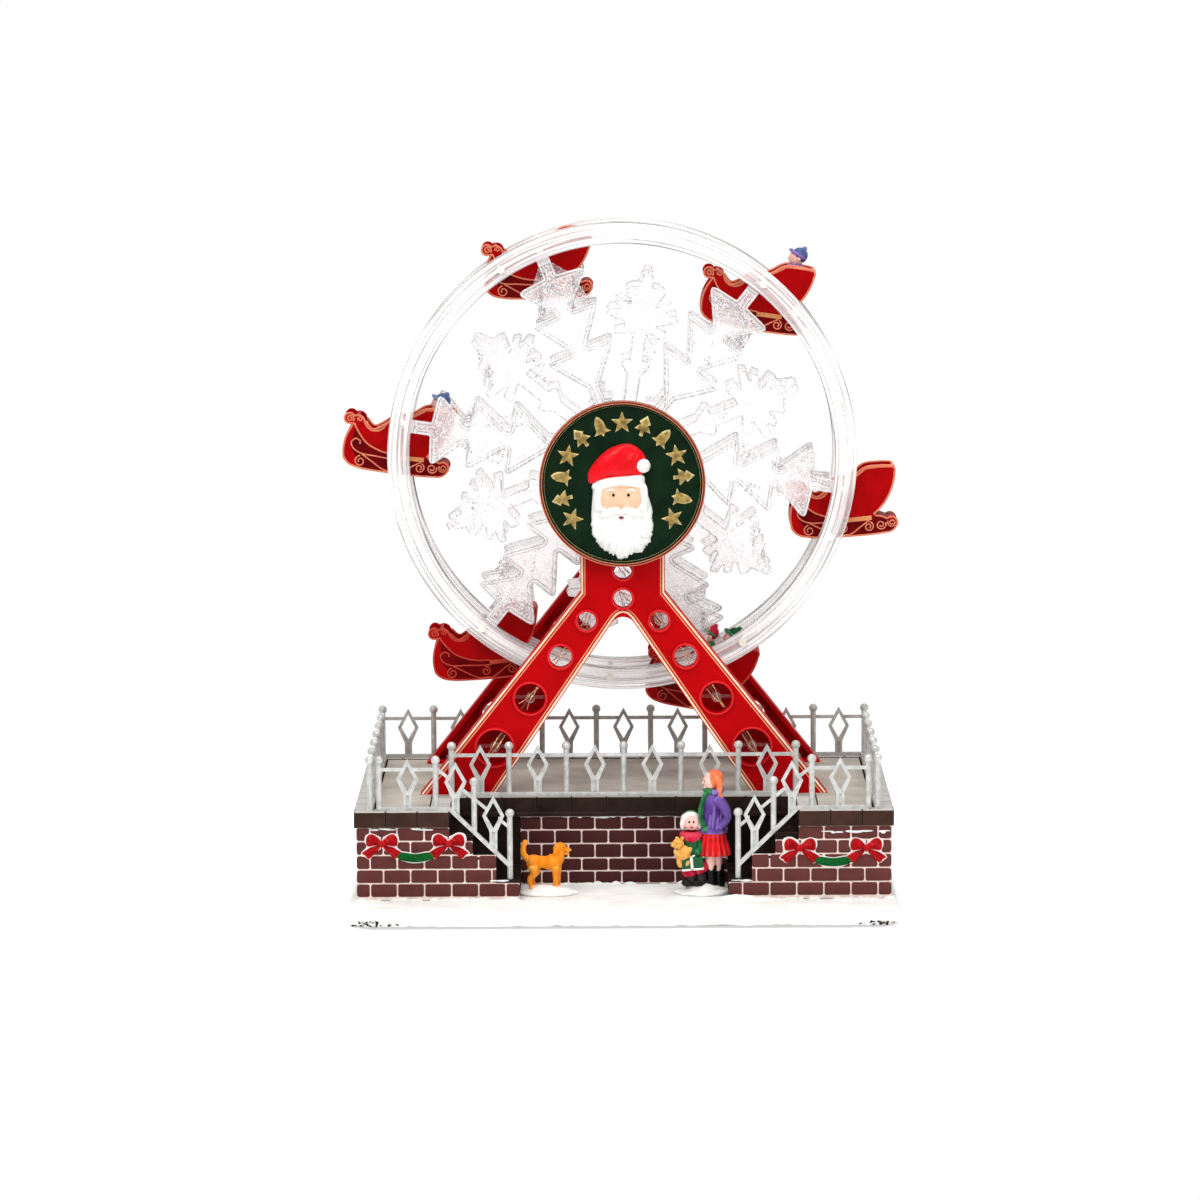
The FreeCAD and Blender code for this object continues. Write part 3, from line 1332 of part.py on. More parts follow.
def make_battery_parts():
    half = size.battery_half_width
    rear = size.wall_half_depth - size.wall_thick
    front = rear - size.cell_length - 3.6
    floor, top = size.battery_floor, size.battery_top
    shell = box("battery_shell", (-half - 1.6, half + 1.6), (front - 1.6, rear), (floor - 1.6, top + 1.6))
    room = box("battery_room", (-half, half), (front, rear + 1), (floor, top))
    legs = [rod(f"battery_leg_{index}", "z", 2.5, (as_size(across), as_size(along)),
                size.cover_bottom + size.cover_thick, floor - 1.6)
            for index, (across, along) in enumerate(((-20, 26), (20, 26), (-20, 56), (20, 56)))]
    keep(fuse("battery_box", [cut("battery_tub", shell, room)] + legs), "battery_box")
    middle = floor + size.cell_radius
    cells = []
    contacts = []
    for index in range(3):
        spot = (size.cell_pitch * (index - 1), middle)
        nose = 1 if index != 1 else -1
        start = rear - 0.6 - size.cell_length
        can = rod(f"cell_can_{index}", "y", size.cell_radius, spot, start, start + size.cell_length - 1)
        tip_low = start + size.cell_length - 1.5 if nose == 1 else start - 0.9
        tip = rod(f"cell_tip_{index}", "y", 2.6, spot, tip_low, tip_low + 1.5)
        cells.append(fuse(f"cell_{index}", [can, tip]))
        plate = box(f"contact_plate_{index}", (spot[0] - 4, spot[0] + 4), (front, front + 0.5),
                    (middle - 4, middle + 4))
        spring_end = start - 0.9 if nose == -1 else start
        spring = rod(f"contact_spring_{index}", "y", 2.6, spot, front + 0.4, spring_end)
        contacts.append(fuse(f"contact_{index}", [plate, spring]))
    keep(group("aa_cells", cells), "aa_cells")
    keep(group("battery_contacts", contacts), "battery_contacts")
    hinge = size.door_hinge_height
    wall = size.wall_half_depth
    panel = box("door_panel", (-26.8, 26.8), (wall + 0.2, wall + 2.0), (hinge, hinge + 20.0))
    pin = rod("door_pin", "x", 1.05, (wall + 1.1, hinge), -29.6, 29.6)
    grip = box("door_grip", (-7, 7), (wall + 1.5, wall + 2.6), (hinge + 16.6, hinge + 18.0))
    strip = box("door_contact", (-20, 20), (wall - size.wall_thick - 0.3, wall + 0.5), (hinge + 4.2, hinge + 12.6))
    keep(fuse("battery_door", [panel, pin, grip, strip]), "battery_door")


def make_sound_parts():
    top = size.cover_bottom + size.cover_thick
    (left, right), (front, rear) = BOARD
    level = top + 8
    board = box("board_plate", (left, right), (front, rear), (level, level + 1.6))
    chip = box("board_chip", (-80, -66), (0, 9), (level + 1.5, level + 4))
    tank = rod("board_tank", "z", 3.2, (as_size(-56.0), as_size(22.0)), level + 1.5, level + 12)
    plug = box("board_plug", (-90, -82), (24, 34), (level + 1.5, level + 8))
    keep(fuse("circuit_board", [board, chip, tank, plug]), "circuit_board")
    spot = (as_size(SPEAKER[0]), as_size(SPEAKER[1]))
    basket = fuse("speaker_basket", [
        rod("speaker_rim", "z", 20, spot, top, top + 2),
        upright_cone("speaker_cone", 18, 9, spot, top + 2, top + 9),
        rod("speaker_magnet", "z", 11, spot, top + 9, top + 15),
    ])
    front_room = upright_cone("speaker_room", 16.5, 6, spot, top, top + 7)
    keep(cut("speaker", basket, front_room), "speaker")
    wall = size.wall_half_depth - size.wall_thick
    across, up = size.switch_x, size.switch_z
    case = box("switch_case", (across - 6, across + 10), (wall - 6, wall), (up - 4, up + 4))
    channel = box("switch_channel", (across - 2.4, across + 6.4), (wall - 2.5, wall + 1), (up - 1.4, up + 1.4))
    keep(cut("switch_body", case, channel), "switch_body")
    keep(box("switch_slider", (across - 2, across + 2), (wall - 2.2, wall + 4.4), (up - 1.3, up + 1.3)),
         "switch_slider")


def check_and_write():
    doc.recompute()
    for item in doc.Objects:
        if "Invalid" in item.State or "Error" in item.State:
            raise RuntimeError(f"{item.Name} failed: {item.State}")
    os.makedirs("parts", exist_ok=True)
    for name, item in nodes:
        if item.Shape.isNull() or not item.Shape.isValid() or not item.Shape.Solids:
            raise RuntimeError(f"{name} has no valid solid")
    for name, item in nodes:
        item.Shape.exportStep(os.path.join("parts", f"{name}.step"))
        print(f"{name}: {len(item.Shape.Solids)} solids, {item.Shape.Volume / 1000:.2f} cm3")


def main():
    fill_sheet()
    make_snow_base()
    make_bottom_cover()
    make_base_fittings()
    make_terrace()
    make_coping_and_deck()
    make_straight_fences()
    make_stair_fences()
    make_bows_and_garlands()
    make_woman_and_child()
    make_dog()
    make_front_frame()
    make_frame_fittings()
    lamp_string("front_lamp_string", False)
    lamp_string("rear_lamp_string", True)
    make_medallion()
    make_wheel()
    make_sleighs()
    make_drive()
    make_battery_parts()
    make_sound_parts()
    check_and_write()


main()
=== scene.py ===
import random
from math import atan2, copysign, cos, exp, hypot, pi, radians, sin, tan

import bmesh
import bpy
from mathutils import Matrix, Vector, noise


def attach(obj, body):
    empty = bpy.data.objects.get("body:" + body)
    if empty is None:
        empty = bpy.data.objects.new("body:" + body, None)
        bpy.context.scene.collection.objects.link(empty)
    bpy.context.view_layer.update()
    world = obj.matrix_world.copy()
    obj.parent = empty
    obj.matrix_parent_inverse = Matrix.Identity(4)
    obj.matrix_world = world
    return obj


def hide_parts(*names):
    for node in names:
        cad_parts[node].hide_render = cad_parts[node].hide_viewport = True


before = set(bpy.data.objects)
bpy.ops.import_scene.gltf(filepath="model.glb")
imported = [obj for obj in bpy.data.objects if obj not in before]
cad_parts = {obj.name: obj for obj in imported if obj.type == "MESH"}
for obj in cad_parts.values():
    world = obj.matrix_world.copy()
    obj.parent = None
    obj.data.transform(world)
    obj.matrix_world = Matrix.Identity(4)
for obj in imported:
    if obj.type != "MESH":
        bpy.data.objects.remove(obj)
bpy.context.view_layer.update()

MM = 0.001
AXLE_HEIGHT = 195.0
MEDALLION_Z = 186.9
scene = bpy.context.scene

# Camera

CAMERA_BACK = 2419.55
CAMERA_HEIGHT = 453.51
PITCH = 0.1327
ROLL = -0.0048
FOCAL_PIXELS = 5445.83
CENTRE_PIXEL = 622.85
IMAGE_SIZE = 1200


def make_camera():
    data = bpy.data.cameras.new("camera")
    data.sensor_width = 36
    data.lens = FOCAL_PIXELS * 36 / IMAGE_SIZE
    data.shift_x = -(CENTRE_PIXEL - IMAGE_SIZE / 2) / IMAGE_SIZE
    data.clip_start, data.clip_end = 0.1, 50
    camera = bpy.data.objects.new("camera", data)
    scene.collection.objects.link(camera)
    right = Vector((1, 0, 0))
    up = Vector((0, sin(PITCH), cos(PITCH)))
    back = Vector((0, -cos(PITCH), sin(PITCH)))
    rolled_right = right * cos(ROLL) + up * sin(ROLL)
    rolled_up = up * cos(ROLL) - right * sin(ROLL)
    turn = Matrix((rolled_right, rolled_up, back)).transposed().to_4x4()
    camera.matrix_world = Matrix.Translation((0, -CAMERA_BACK * MM, CAMERA_HEIGHT * MM)) @ turn
    scene.camera = camera


make_camera()

# Materials


def linear(red, green, blue):
    """A screen colour of 0 to 255 as linear light."""
    def part(value):
        value /= 255
        return value / 12.92 if value <= 0.04045 else ((value + 0.055) / 1.055) ** 2.4
    return part(red), part(green), part(blue)


SOCKETS = {"colour": "Base Color", "rough": "Roughness", "normal": "Normal", "alpha": "Alpha", "metallic": "Metallic",
           "specular": "Specular IOR Level", "glow": "Emission Strength", "subsurface": "Subsurface Weight",
           "depth": "Subsurface Scale"}


class Graph:
    """A material's nodes, made and linked in short calls. Tuples are screen colours."""

    def __init__(self, name):
        self.material = bpy.data.materials.new(name)
        self.material.use_nodes = True
        self.tree = self.material.node_tree
        self.shader = self.tree.nodes["Principled BSDF"]
        self.place = self.node("TexCoord").outputs["Object"]

    def put(self, value, socket):
        if isinstance(value, tuple):
            socket.default_value = (*linear(*value), 1)
        elif isinstance(value, (int, float)):
            socket.default_value = value
        else:
            self.tree.links.new(value, socket)

    def node(self, kind, inputs=(), **settings):
        made = self.tree.nodes.new("ShaderNode" + kind)
        for key, value in settings.items():
            setattr(made, key, value)
        for key, value in dict(inputs).items():
            self.put(value, made.inputs[key])
        return made

    def done(self, **sockets):
        """Sets or links the shader's sockets and gives back the material."""
        for key, value in sockets.items():
            self.put(value, self.shader.inputs[SOCKETS[key]])
        return self.material

    def noise(self, scale, detail=3.0, rough=0.55, distort=0.0, place=None):
        return self.node("TexNoise", {"Scale": scale, "Detail": detail, "Roughness": rough, "Distortion": distort,
                                      "Vector": place or self.place}).outputs["Fac"]

    def cells(self, scale, output="Distance"):
        return self.node("TexVoronoi", {"Scale": scale, "Vector": self.place}).outputs[output]

    def span(self, value, low, high, to_low=0.0, to_high=1.0):
        return self.node("MapRange", {"From Min": low, "From Max": high, "To Min": to_low, "To Max": to_high,
                                      "Value": value}).outputs["Result"]

    def mix(self, share, first, second):
        return self.node("Mix", {"Factor": share, 6: first, 7: second}, data_type="RGBA").outputs[2]

    def blend(self, share, first, second):
        """A mix of two numbers."""
        return self.node("Mix", {"Factor": share, 2: first, 3: second}).outputs[0]

    def math(self, operation, first, second=0.0):
        return self.node("Math", {0: first, 1: second}, operation=operation).outputs[0]

    def vector(self, operation, value):
        return self.node("VectorMath", {0: value}, operation=operation).outputs

    def split(self, vector):
        return self.node("SeparateXYZ", {0: vector}).outputs

    def bump(self, height, strength, distance, below=None):
        inputs = {"Strength": strength, "Distance": distance, "Height": height}
        if below is not None:
            inputs["Normal"] = below
        return self.node("Bump", inputs).outputs["Normal"]

    def surface(self, output):
        return self.node("NewGeometry").outputs[output]

    def rounded_edges(self, reach):
        """Worn edges of large flat faces: where a rounded normal leaves the true one."""
        bevel = self.node("Bevel", {"Radius": reach * MM}, samples=4)
        apart = self.node("VectorMath", {0: bevel.outputs[0], 1: self.surface("Normal")}, operation="DOT_PRODUCT")
        return self.span(apart.outputs["Value"], 0.97, 0.8)

    def facing(self, axis):
        """How far a surface faces along an axis of the frame, 0 to 1 either way."""
        return self.math("ABSOLUTE", self.split(self.surface("Normal"))[axis])


def finish_of(name, colour, second, rough=(0.35, 0.5), grain=220, spots=1800, bump=0.12, worn=None,
              metallic=0.0, subsurface=0.0, specular=0.12, edge=0.0, top=None):
    """A painted or moulded finish: two shades, uneven gloss, a fine skin and lighter edges."""
    graph = Graph(name)
    paint = graph.mix(graph.span(graph.noise(grain, 4), 0.35, 0.68), colour, second)
    # Faces that point up or down take the top colour: partly a lighter paint on the coping tops, partly painted light
    # from above.
    if top:
        paint = graph.mix(graph.span(graph.facing("Z"), 0.6, 0.9), paint, top)
    if worn:
        edges = graph.rounded_edges(edge) if edge else graph.span(graph.surface("Pointiness"), 0.52, 0.62)
        paint = graph.mix(edges, paint, worn)
    if subsurface:
        graph.done(subsurface=subsurface, depth=0.001)
    skin = graph.bump(graph.noise(spots, 2), bump, 0.0002)
    return graph.done(colour=paint, rough=graph.span(graph.noise(grain * 2.3, 2), 0.3, 0.7, *rough),
                      normal=graph.bump(graph.noise(grain * 0.7, 2), bump * 0.6, 0.0006, skin),
                      metallic=metallic, specular=specular)


def snow_finish():
    graph = Graph("snow_paint")
    grains = graph.bump(graph.cells(1400), 0.5, 0.0004)
    return graph.done(
        colour=graph.mix(graph.span(graph.noise(70, 5), 0.35, 0.65), (226, 224, 219), (242, 241, 238)),
        rough=graph.span(graph.noise(900, 2), 0.3, 0.7, 0.65, 0.9),
        normal=graph.bump(graph.noise(260, 5), 0.6, 0.0010, grains), subsurface=0.15, depth=0.002)


def radial_place(graph):
    """Distance from the wheel's axle in millimetres, and a place that runs along the circles round it."""
    spot = graph.split(graph.place)
    lower = graph.math("SUBTRACT", spot["Z"], AXLE_HEIGHT * MM)
    flat = graph.node("CombineXYZ", {"X": spot["X"], "Z": lower}).outputs[0]
    heading = graph.split(graph.vector("NORMALIZE", flat)[0])
    radius = graph.math("MULTIPLY", graph.vector("LENGTH", flat)["Value"], 1000.0)
    depth = graph.math("MULTIPLY", spot["Y"], 60.0)
    across = graph.math("ADD", graph.math("MULTIPLY", heading["X"], 2.2), depth)
    up = graph.math("MULTIPLY", heading["Z"], 2.2)
    return radius, graph.node("CombineXYZ", {"X": across, "Y": radius, "Z": up}).outputs[0]


def wheel_finish():
    """Frosted flake inside, and a clear ring with grey streaks that run round it; the grey streaks are painted
    refraction and reflection, and the faint glow is painted light.
    """
    graph = Graph("wheel_clear_plastic")
    radius, place = radial_place(graph)
    ring = graph.span(radius, 94.6, 95.4)
    streaks = graph.noise(0.95, 3, 0.6, place=place)
    frosty = graph.noise(420, 4)
    frost = graph.mix(graph.span(frosty, 0.35, 0.7), (254, 254, 254), (246, 246, 247))
    # Grey streaks in the clear ring: painted refraction and reflection.
    painted_refraction_bands = graph.mix(graph.span(streaks, 0.53, 0.68), (253, 252, 251), (196, 194, 192))
    flake_alpha = graph.math("MULTIPLY", graph.span(frosty, 0.3, 0.7, 0.72, 0.50),
                             graph.span(radius, 64.0, 82.0, 1.0, 0.35))
    ring_alpha = graph.span(graph.noise(0.8, 2, 0.5, place=place), 0.40, 0.60, 0.22, 0.78)
    face_alpha = graph.blend(ring, flake_alpha, ring_alpha)
    grooves = graph.bump(streaks, 0.35, 0.0006)
    # The glow makes the frosted plastic look lit: painted light.
    return graph.done(colour=graph.mix(ring, frost, painted_refraction_bands), rough=graph.span(frosty, 0.3, 0.7, 0.35, 0.6),
                      alpha=graph.blend(graph.span(graph.facing("Y"), 0.3, 0.8), 0.26, face_alpha),
                      normal=graph.bump(frosty, 0.15, 0.0003, grooves), specular=0.35, glow=0.14)


def glitter_finish():
    """Silver and pink flakes in frosted plastic, thick at the ends of the arms and thin near the axle."""
    graph = Graph("silver_glitter")
    radius, _ = radial_place(graph)
    bright = graph.node("SeparateColor", {"Color": graph.cells(1900, "Color")}).outputs
    level = graph.math("SUBTRACT", 1.0, graph.span(radius, 50.0, 84.0, 0.07, 0.70))
    above = graph.math("GREATER_THAN", bright["Red"], level)
    flakes = graph.math("MULTIPLY", above, graph.span(graph.noise(190, 3), 0.36, 0.54, 0.25, 1.0))
    grey = graph.mix(graph.span(radius, 74.0, 88.0), (206, 200, 203), (84, 62, 66))
    silver = graph.mix(bright["Green"], grey, (250, 246, 247))
    rose = graph.mix(graph.math("GREATER_THAN", bright["Blue"], 0.90), silver, (228, 184, 188))
    # The faint glow makes the glitter look lit: painted light.
    return graph.done(colour=graph.mix(flakes, (254, 254, 254), rose), metallic=graph.math("MULTIPLY", flakes, 0.12),
                      rough=graph.span(bright["Blue"], 0.0, 1.0, 0.2, 0.5),
                      normal=graph.bump(bright["Blue"], 0.35, 0.0003),
                      alpha=graph.span(flakes, 0.0, 1.0, 0.06, 0.9), specular=0.3, glow=0.10)


def rim_finish():
    """Copper paint on the outer part of the medallion's rim, the plate's green on its inner edge."""
    graph = Graph("medallion_rim_paint")
    spot = graph.split(graph.place)
    across = graph.math("MULTIPLY", spot["X"], spot["X"])
    up = graph.math("SUBTRACT", spot["Z"], MEDALLION_Z * MM)
    radius = graph.math("SQRT", graph.math("ADD", across, graph.math("MULTIPLY", up, up)))
    patches = graph.noise(190, 4)
    copper = graph.mix(graph.span(patches, 0.4, 0.65), (128, 48, 40), (88, 34, 30))
    worn = graph.mix(graph.rounded_edges(0.35), copper, (196, 128, 98))
    green = graph.mix(patches, (15, 36, 18), (8, 25, 12))
    return graph.done(colour=graph.mix(graph.span(radius, 35.35 * MM, 35.55 * MM), green, worn),
                      rough=graph.span(patches, 0.3, 0.7, 0.35, 0.5),
                      normal=graph.bump(graph.noise(900, 3), 0.25, 0.0002), specular=0.06)


def rib_finish(name, dark, light, low, high):
    """Thin moulded lines of the wheel, darker and lighter by turns; the grey stands in for refraction in the clear
    plastic: painted reflection.
    """
    graph = Graph(name)
    change = graph.noise(1.3, 2, 0.5, place=radial_place(graph)[1])
    return graph.done(colour=graph.mix(graph.span(change, 0.4, 0.62), light, dark),
                      alpha=graph.span(change, 0.4, 0.62, low, high),
                      rough=graph.span(graph.noise(300, 2), 0.3, 0.7, 0.2, 0.4),
                      normal=graph.bump(change, 0.2, 0.0004), specular=0.3)


def clear_finish(name, tint, alpha, rough=0.05):
    """Clear moulded plastic with faint flow marks."""
    graph = Graph(name)
    flow = graph.noise(60, 2, distort=1.5)
    rim = graph.node("LayerWeight", {"Blend": 0.35}).outputs["Facing"]
    return graph.done(colour=graph.mix(graph.span(flow, 0.3, 0.7), tint, (255, 255, 255)),
                      rough=graph.span(graph.noise(300, 2), 0.3, 0.7, rough, rough * 2.5),
                      normal=graph.bump(flow, 0.25, 0.0010),
                      alpha=graph.span(rim, 0.1, 0.9, alpha, min(1.0, alpha + 0.3)))


def paint(*values, **named):
    """The arguments of a painted finish, kept until something wears it."""
    return lambda: finish_of(*values, **named)


MAKERS = {
    "snow": snow_finish,
    "brick": paint("brick_paint", (74, 33, 32), (55, 24, 23), (0.5, 0.7), 160, 2600, 0.5, (120, 72, 68),
        specular=0.05),
    # The recess bricks take a darker copy of the brick paint: painted shade for the recess.
    "shaded_recess_brick": paint("recess_brick_paint", (50, 19, 17), (36, 13, 12), (0.5, 0.7), 160, 2600, 0.5, (96, 56, 54),
        specular=0.04),
    "mortar": paint("mortar_paint", (234, 214, 206), (206, 184, 176), (0.6, 0.8), 300, 2400, 0.4),
    # The coping's top colour is partly a light grey top paint, partly painted light from above.
    "stone": paint("stone_paint", (66, 44, 37), (48, 33, 28), (0.4, 0.6), 120, 2200, 0.5, (112, 94, 86),
        specular=0.05, edge=0.4, top=(186, 184, 178)),
    # The recess coping takes a darker copy of the stone paint: painted shade for the recess. Its top colour is partly a
    # light top paint, partly painted light from above.
    "shaded_recess_stone": paint("recess_stone_paint", (46, 32, 27), (32, 23, 19), (0.4, 0.6), 120, 2200, 0.5, (92, 78, 72),
        specular=0.04, edge=0.4, top=(150, 147, 141)),
    # Near-black step paint: on the stair treads, the terrace shell and the wall coping node it is painted shade over
    # the stairs; on the battery door it is the door's own colour.
    "dark": paint("step_paint", (32, 23, 20), (22, 16, 14), (0.5, 0.7), 150, 2000, 0.4, (84, 68, 62), specular=0.03,
        edge=0.4),
    "deck": paint("deck_paint", (190, 183, 172), (152, 145, 135), (0.45, 0.6), 38, 1500, 0.25, specular=0.06),
    "fence": paint("fence_silver_paint", (206, 206, 202), (172, 173, 170), (0.3, 0.45), 300, 2000, 0.2,
        (236, 237, 236), metallic=0.25, specular=0.3, edge=0.3),
    # The rear fence takes a darker copy of the fence's silver paint, with dimmer edges: painted shade for the fence at
    # the back.
    "shaded_rear_fence": paint("rear_fence_silver_paint", (194, 194, 188), (162, 162, 156), (0.35, 0.5), 300, 2000, 0.2,
        (190, 190, 186), metallic=0.2, specular=0.2, edge=0.3),
    "red": paint("frame_red_plastic", (184, 0, 7), (168, 0, 4), (0.3, 0.45), 60, 1600, 0.12, (216, 30, 26),
        specular=0.05, edge=0.35),
    # The rims round the lamp holes take a lighter copy of the frame red: a painted highlight on the raised rims.
    "lit_rim_red": paint("rim_red_plastic", (214, 14, 28), (198, 4, 16), (0.3, 0.45), 60, 1600, 0.12, (226, 50, 56),
        specular=0.12),
    "back_red": paint("sleeve_red_plastic", (176, 0, 8), (150, 0, 6), (0.4, 0.55), 90, 1600, 0.12, specular=0.04),
    "sleigh": paint("sleigh_red_paint", (168, 0, 4), (148, 0, 2), (0.3, 0.45), 120, 1800, 0.15, (200, 34, 26),
        specular=0.05, edge=0.3),
    "dark_red": paint("sleigh_dark_red_paint", (108, 2, 5), (80, 0, 3), (0.4, 0.55), 150, 1800, 0.2, specular=0.04),
    "coral": paint("coral_gold_paint", (200, 98, 72), (176, 74, 52), (0.35, 0.5), 260, 2200, 0.3, (236, 150, 116),
        metallic=0.1),
    "dull_coral": paint("dull_red_gold_paint", (180, 50, 38), (160, 36, 28), (0.35, 0.5), 260, 2200, 0.3,
        (206, 84, 66), specular=0.08),
    "strip": paint("strip_gold_paint", (196, 116, 68), (168, 88, 50), (0.35, 0.5), 300, 2200, 0.3, (230, 160, 108),
        metallic=0.2),
    "edge_gold": paint("edge_gold_paint", (248, 206, 166), (232, 176, 130), (0.3, 0.45), 300, 2000, 0.25,
        (255, 236, 210), metallic=0.15),
    "edge_copper": paint("edge_copper_paint", (206, 112, 74), (178, 84, 54), (0.3, 0.45), 300, 2000, 0.25,
        (236, 160, 120), metallic=0.15),
    "green": paint("medallion_green_paint", (16, 38, 20), (9, 27, 13), (0.4, 0.6), 110, 1500, 0.35, specular=0.05),
    "copper": rim_finish,
    "gold": paint("gold_paint", (178, 150, 84), (104, 84, 40), (0.3, 0.5), 420, 2400, 0.45, (232, 214, 156),
        metallic=0.35, specular=0.3),
    "brass": paint("brass_wire", (232, 190, 116), (196, 148, 78), (0.25, 0.4), 500, 2400, 0.15, (250, 226, 170),
        metallic=0.6, specular=0.5),
    "garland": paint("garland_green_paint", (4, 94, 38), (0, 66, 22), (0.3, 0.5), 500, 2600, 0.8, (26, 120, 62),
        specular=0.08),
    "bow": paint("bow_red_paint", (172, 0, 12), (116, 0, 6), (0.25, 0.4), 320, 2200, 0.3, (210, 52, 50),
        specular=0.08),
    "white": paint("white_paint", (238, 232, 228), (220, 213, 207), (0.5, 0.7), 240, 2200, 0.35),
    "beard": paint("beard_white_paint", (240, 240, 237), (226, 226, 221), (0.5, 0.7), 260, 2200, 0.3),
    "skin": paint("skin_paint", (246, 200, 166), (238, 184, 150), (0.4, 0.55), 260, 2200, 0.15, subsurface=0.1),
    "pale_skin": paint("pale_skin_paint", (246, 204, 190), (236, 180, 170), (0.4, 0.55), 300, 2400, 0.15,
        subsurface=0.1),
    "hat": paint("hat_red_paint", (238, 0, 22), (206, 0, 12), (0.2, 0.34), 160, 1800, 0.2, (236, 70, 80),
        specular=0.2),
    "black": paint("black_plastic", (26, 26, 28), (18, 18, 20), (0.4, 0.6), 200, 1800, 0.25, (60, 60, 62),
        specular=0.06, edge=0.4),
    "gloss_black": paint("black_paint", (9, 8, 9), (16, 15, 15), (0.2, 0.32), 300, 1800, 0.15, (46, 44, 44),
        specular=0.14),
    "hair": paint("hair_orange_paint", (232, 118, 76), (208, 92, 56), (0.4, 0.55), 500, 2400, 0.5, (250, 160, 104)),
    "purple": paint("coat_purple_paint", (94, 62, 144), (70, 42, 116), (0.35, 0.5), 160, 2000, 0.25, (156, 126, 200)),
    "scarf": paint("scarf_green_paint", (8, 82, 38), (2, 54, 25), (0.4, 0.55), 500, 2400, 0.5, (70, 154, 98)),
    "gift": paint("gift_green_paint", (3, 52, 22), (1, 36, 14), (0.3, 0.45), 400, 2200, 0.3, (40, 110, 66)),
    "skirt": paint("skirt_red_paint", (222, 2, 18), (180, 0, 10), (0.3, 0.42), 260, 2000, 0.25, (246, 84, 78),
        specular=0.2),
    "pink": paint("trousers_pink_paint", (200, 12, 54), (166, 2, 38), (0.35, 0.5), 260, 2000, 0.25, (232, 90, 112)),
    "teddy": paint("teddy_yellow_paint", (228, 170, 88), (204, 140, 62), (0.5, 0.65), 500, 2600, 0.6,
        (246, 200, 120)),
    "dog": paint("dog_orange_paint", (240, 140, 16), (218, 112, 6), (0.4, 0.55), 300, 2400, 0.5, (252, 190, 90)),
    "paw": paint("paw_pink_paint", (244, 206, 186), (230, 180, 150), (0.4, 0.55), 400, 2400, 0.3),
    "blue": paint("cap_blue_paint", (74, 92, 136), (50, 64, 106), (0.4, 0.55), 400, 2200, 0.3, (150, 170, 210)),
    "lips": paint("lip_paint", (150, 40, 66), (132, 30, 54), (0.35, 0.5), 500, 2400, 0.1),
    "steel": paint("steel_finish", (168, 170, 174), (140, 142, 146), (0.25, 0.4), 400, 2400, 0.15, (210, 212, 216),
        metallic=0.95, specular=0.5),
    "rubber": paint("foot_rubber", (34, 34, 35), (26, 26, 27), (0.7, 0.9), 300, 2600, 0.5, (64, 64, 64)),
    "nylon": paint("gear_nylon", (226, 222, 206), (212, 206, 188), (0.4, 0.55), 200, 1800, 0.15, (240, 238, 228),
        subsurface=0.1),
    "pin": paint("pale_pin_plastic", (246, 246, 246), (224, 224, 224), (0.3, 0.45), 300, 1800, 0.15, (252, 252, 252)),
    "board": paint("board_green", (28, 92, 54), (20, 74, 42), (0.35, 0.5), 600, 2200, 0.3, (60, 120, 84)),
    "cell": paint("cell_wrap", (52, 58, 66), (40, 46, 52), (0.3, 0.45), 200, 1800, 0.1, (120, 124, 130)),
    "amber": paint("ring_light_plastic", (252, 250, 240), (238, 232, 214), (0.15, 0.3), 600, 1800, 0.1, specular=0.4),
    "wheel": wheel_finish,
    "clear": lambda: clear_finish("hub_clear_plastic", (244, 246, 246), 0.45),
    "lamp": lambda: clear_finish("lamp_clear_plastic", (246, 226, 220), 0.05, 0.03),
    "rib": lambda: rib_finish("wheel_line_plastic", (150, 148, 146), (232, 231, 230), 0.25, 0.85),
    "border": lambda: rib_finish("flake_border_plastic", (196, 193, 193), (253, 253, 253), 0.7, 0.85),
    "glitter": glitter_finish,
}
finishes = {}


def finish(name):
    if name not in finishes:
        finishes[name] = MAKERS[name]()
    return finishes[name]


# Pieces


def piece(name, shape, look, body="stand", *, replaced=(), crease=40):
    """Turns a bmesh in millimetres into a piece of the object."""
    bmesh.ops.scale(shape, vec=Vector((MM, MM, MM)), verts=shape.verts)
    bmesh.ops.recalc_face_normals(shape, faces=shape.faces)
    mesh = bpy.data.meshes.new(name)
    shape.to_mesh(mesh)
    shape.free()
    obj = bpy.data.objects.new(name, mesh)
    scene.collection.objects.link(obj)
    mesh.materials.append(finish(look))
    mesh.shade_smooth()
    mesh.set_sharp_from_angle(angle=radians(crease))
    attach(obj, body)
    if replaced:
        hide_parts(*replaced)
    return obj


def add_block(shape, low, high, bevel=0.0, segments=2):
    """A box between two corners with rounded edges."""
    other = bmesh.new()
    bmesh.ops.create_cube(other, size=1)
    for vert in other.verts:
        vert.co = Vector([low[i] if vert.co[i] < 0 else high[i] for i in range(3)])
    if bevel:
        bmesh.ops.bevel(other, geom=other.edges[:], offset=bevel, segments=segments, affect="EDGES", profile=0.5)
    join(shape, other)


def join(shape, other, matrix=None):
    """Copies another bmesh into this one and frees it."""
    if matrix is not None:
        bmesh.ops.transform(other, matrix=matrix, verts=other.verts)
    other.verts.index_update()
    made = [shape.verts.new(vert.co) for vert in other.verts]
    for face in other.faces:
        try:
            shape.faces.new([made[vert.index] for vert in face.verts])
        except ValueError:
            pass
    other.free()


def add_rings(shape, rings, loop=False):
    """Skins a list of rings that have the same number of points."""
    made = [[shape.verts.new(point) for point in ring] for ring in rings]
    count = len(made[0])
    pairs = list(zip(made, made[1:]))
    if loop:
        pairs.append((made[-1], made[0]))
    for first, second in pairs:
        for index in range(count):
            after = (index + 1) % count
            shape.faces.new((first[index], first[after], second[after], second[index]))
    if not loop:
        shape.faces.new(made[0])
        shape.faces.new(made[-1])


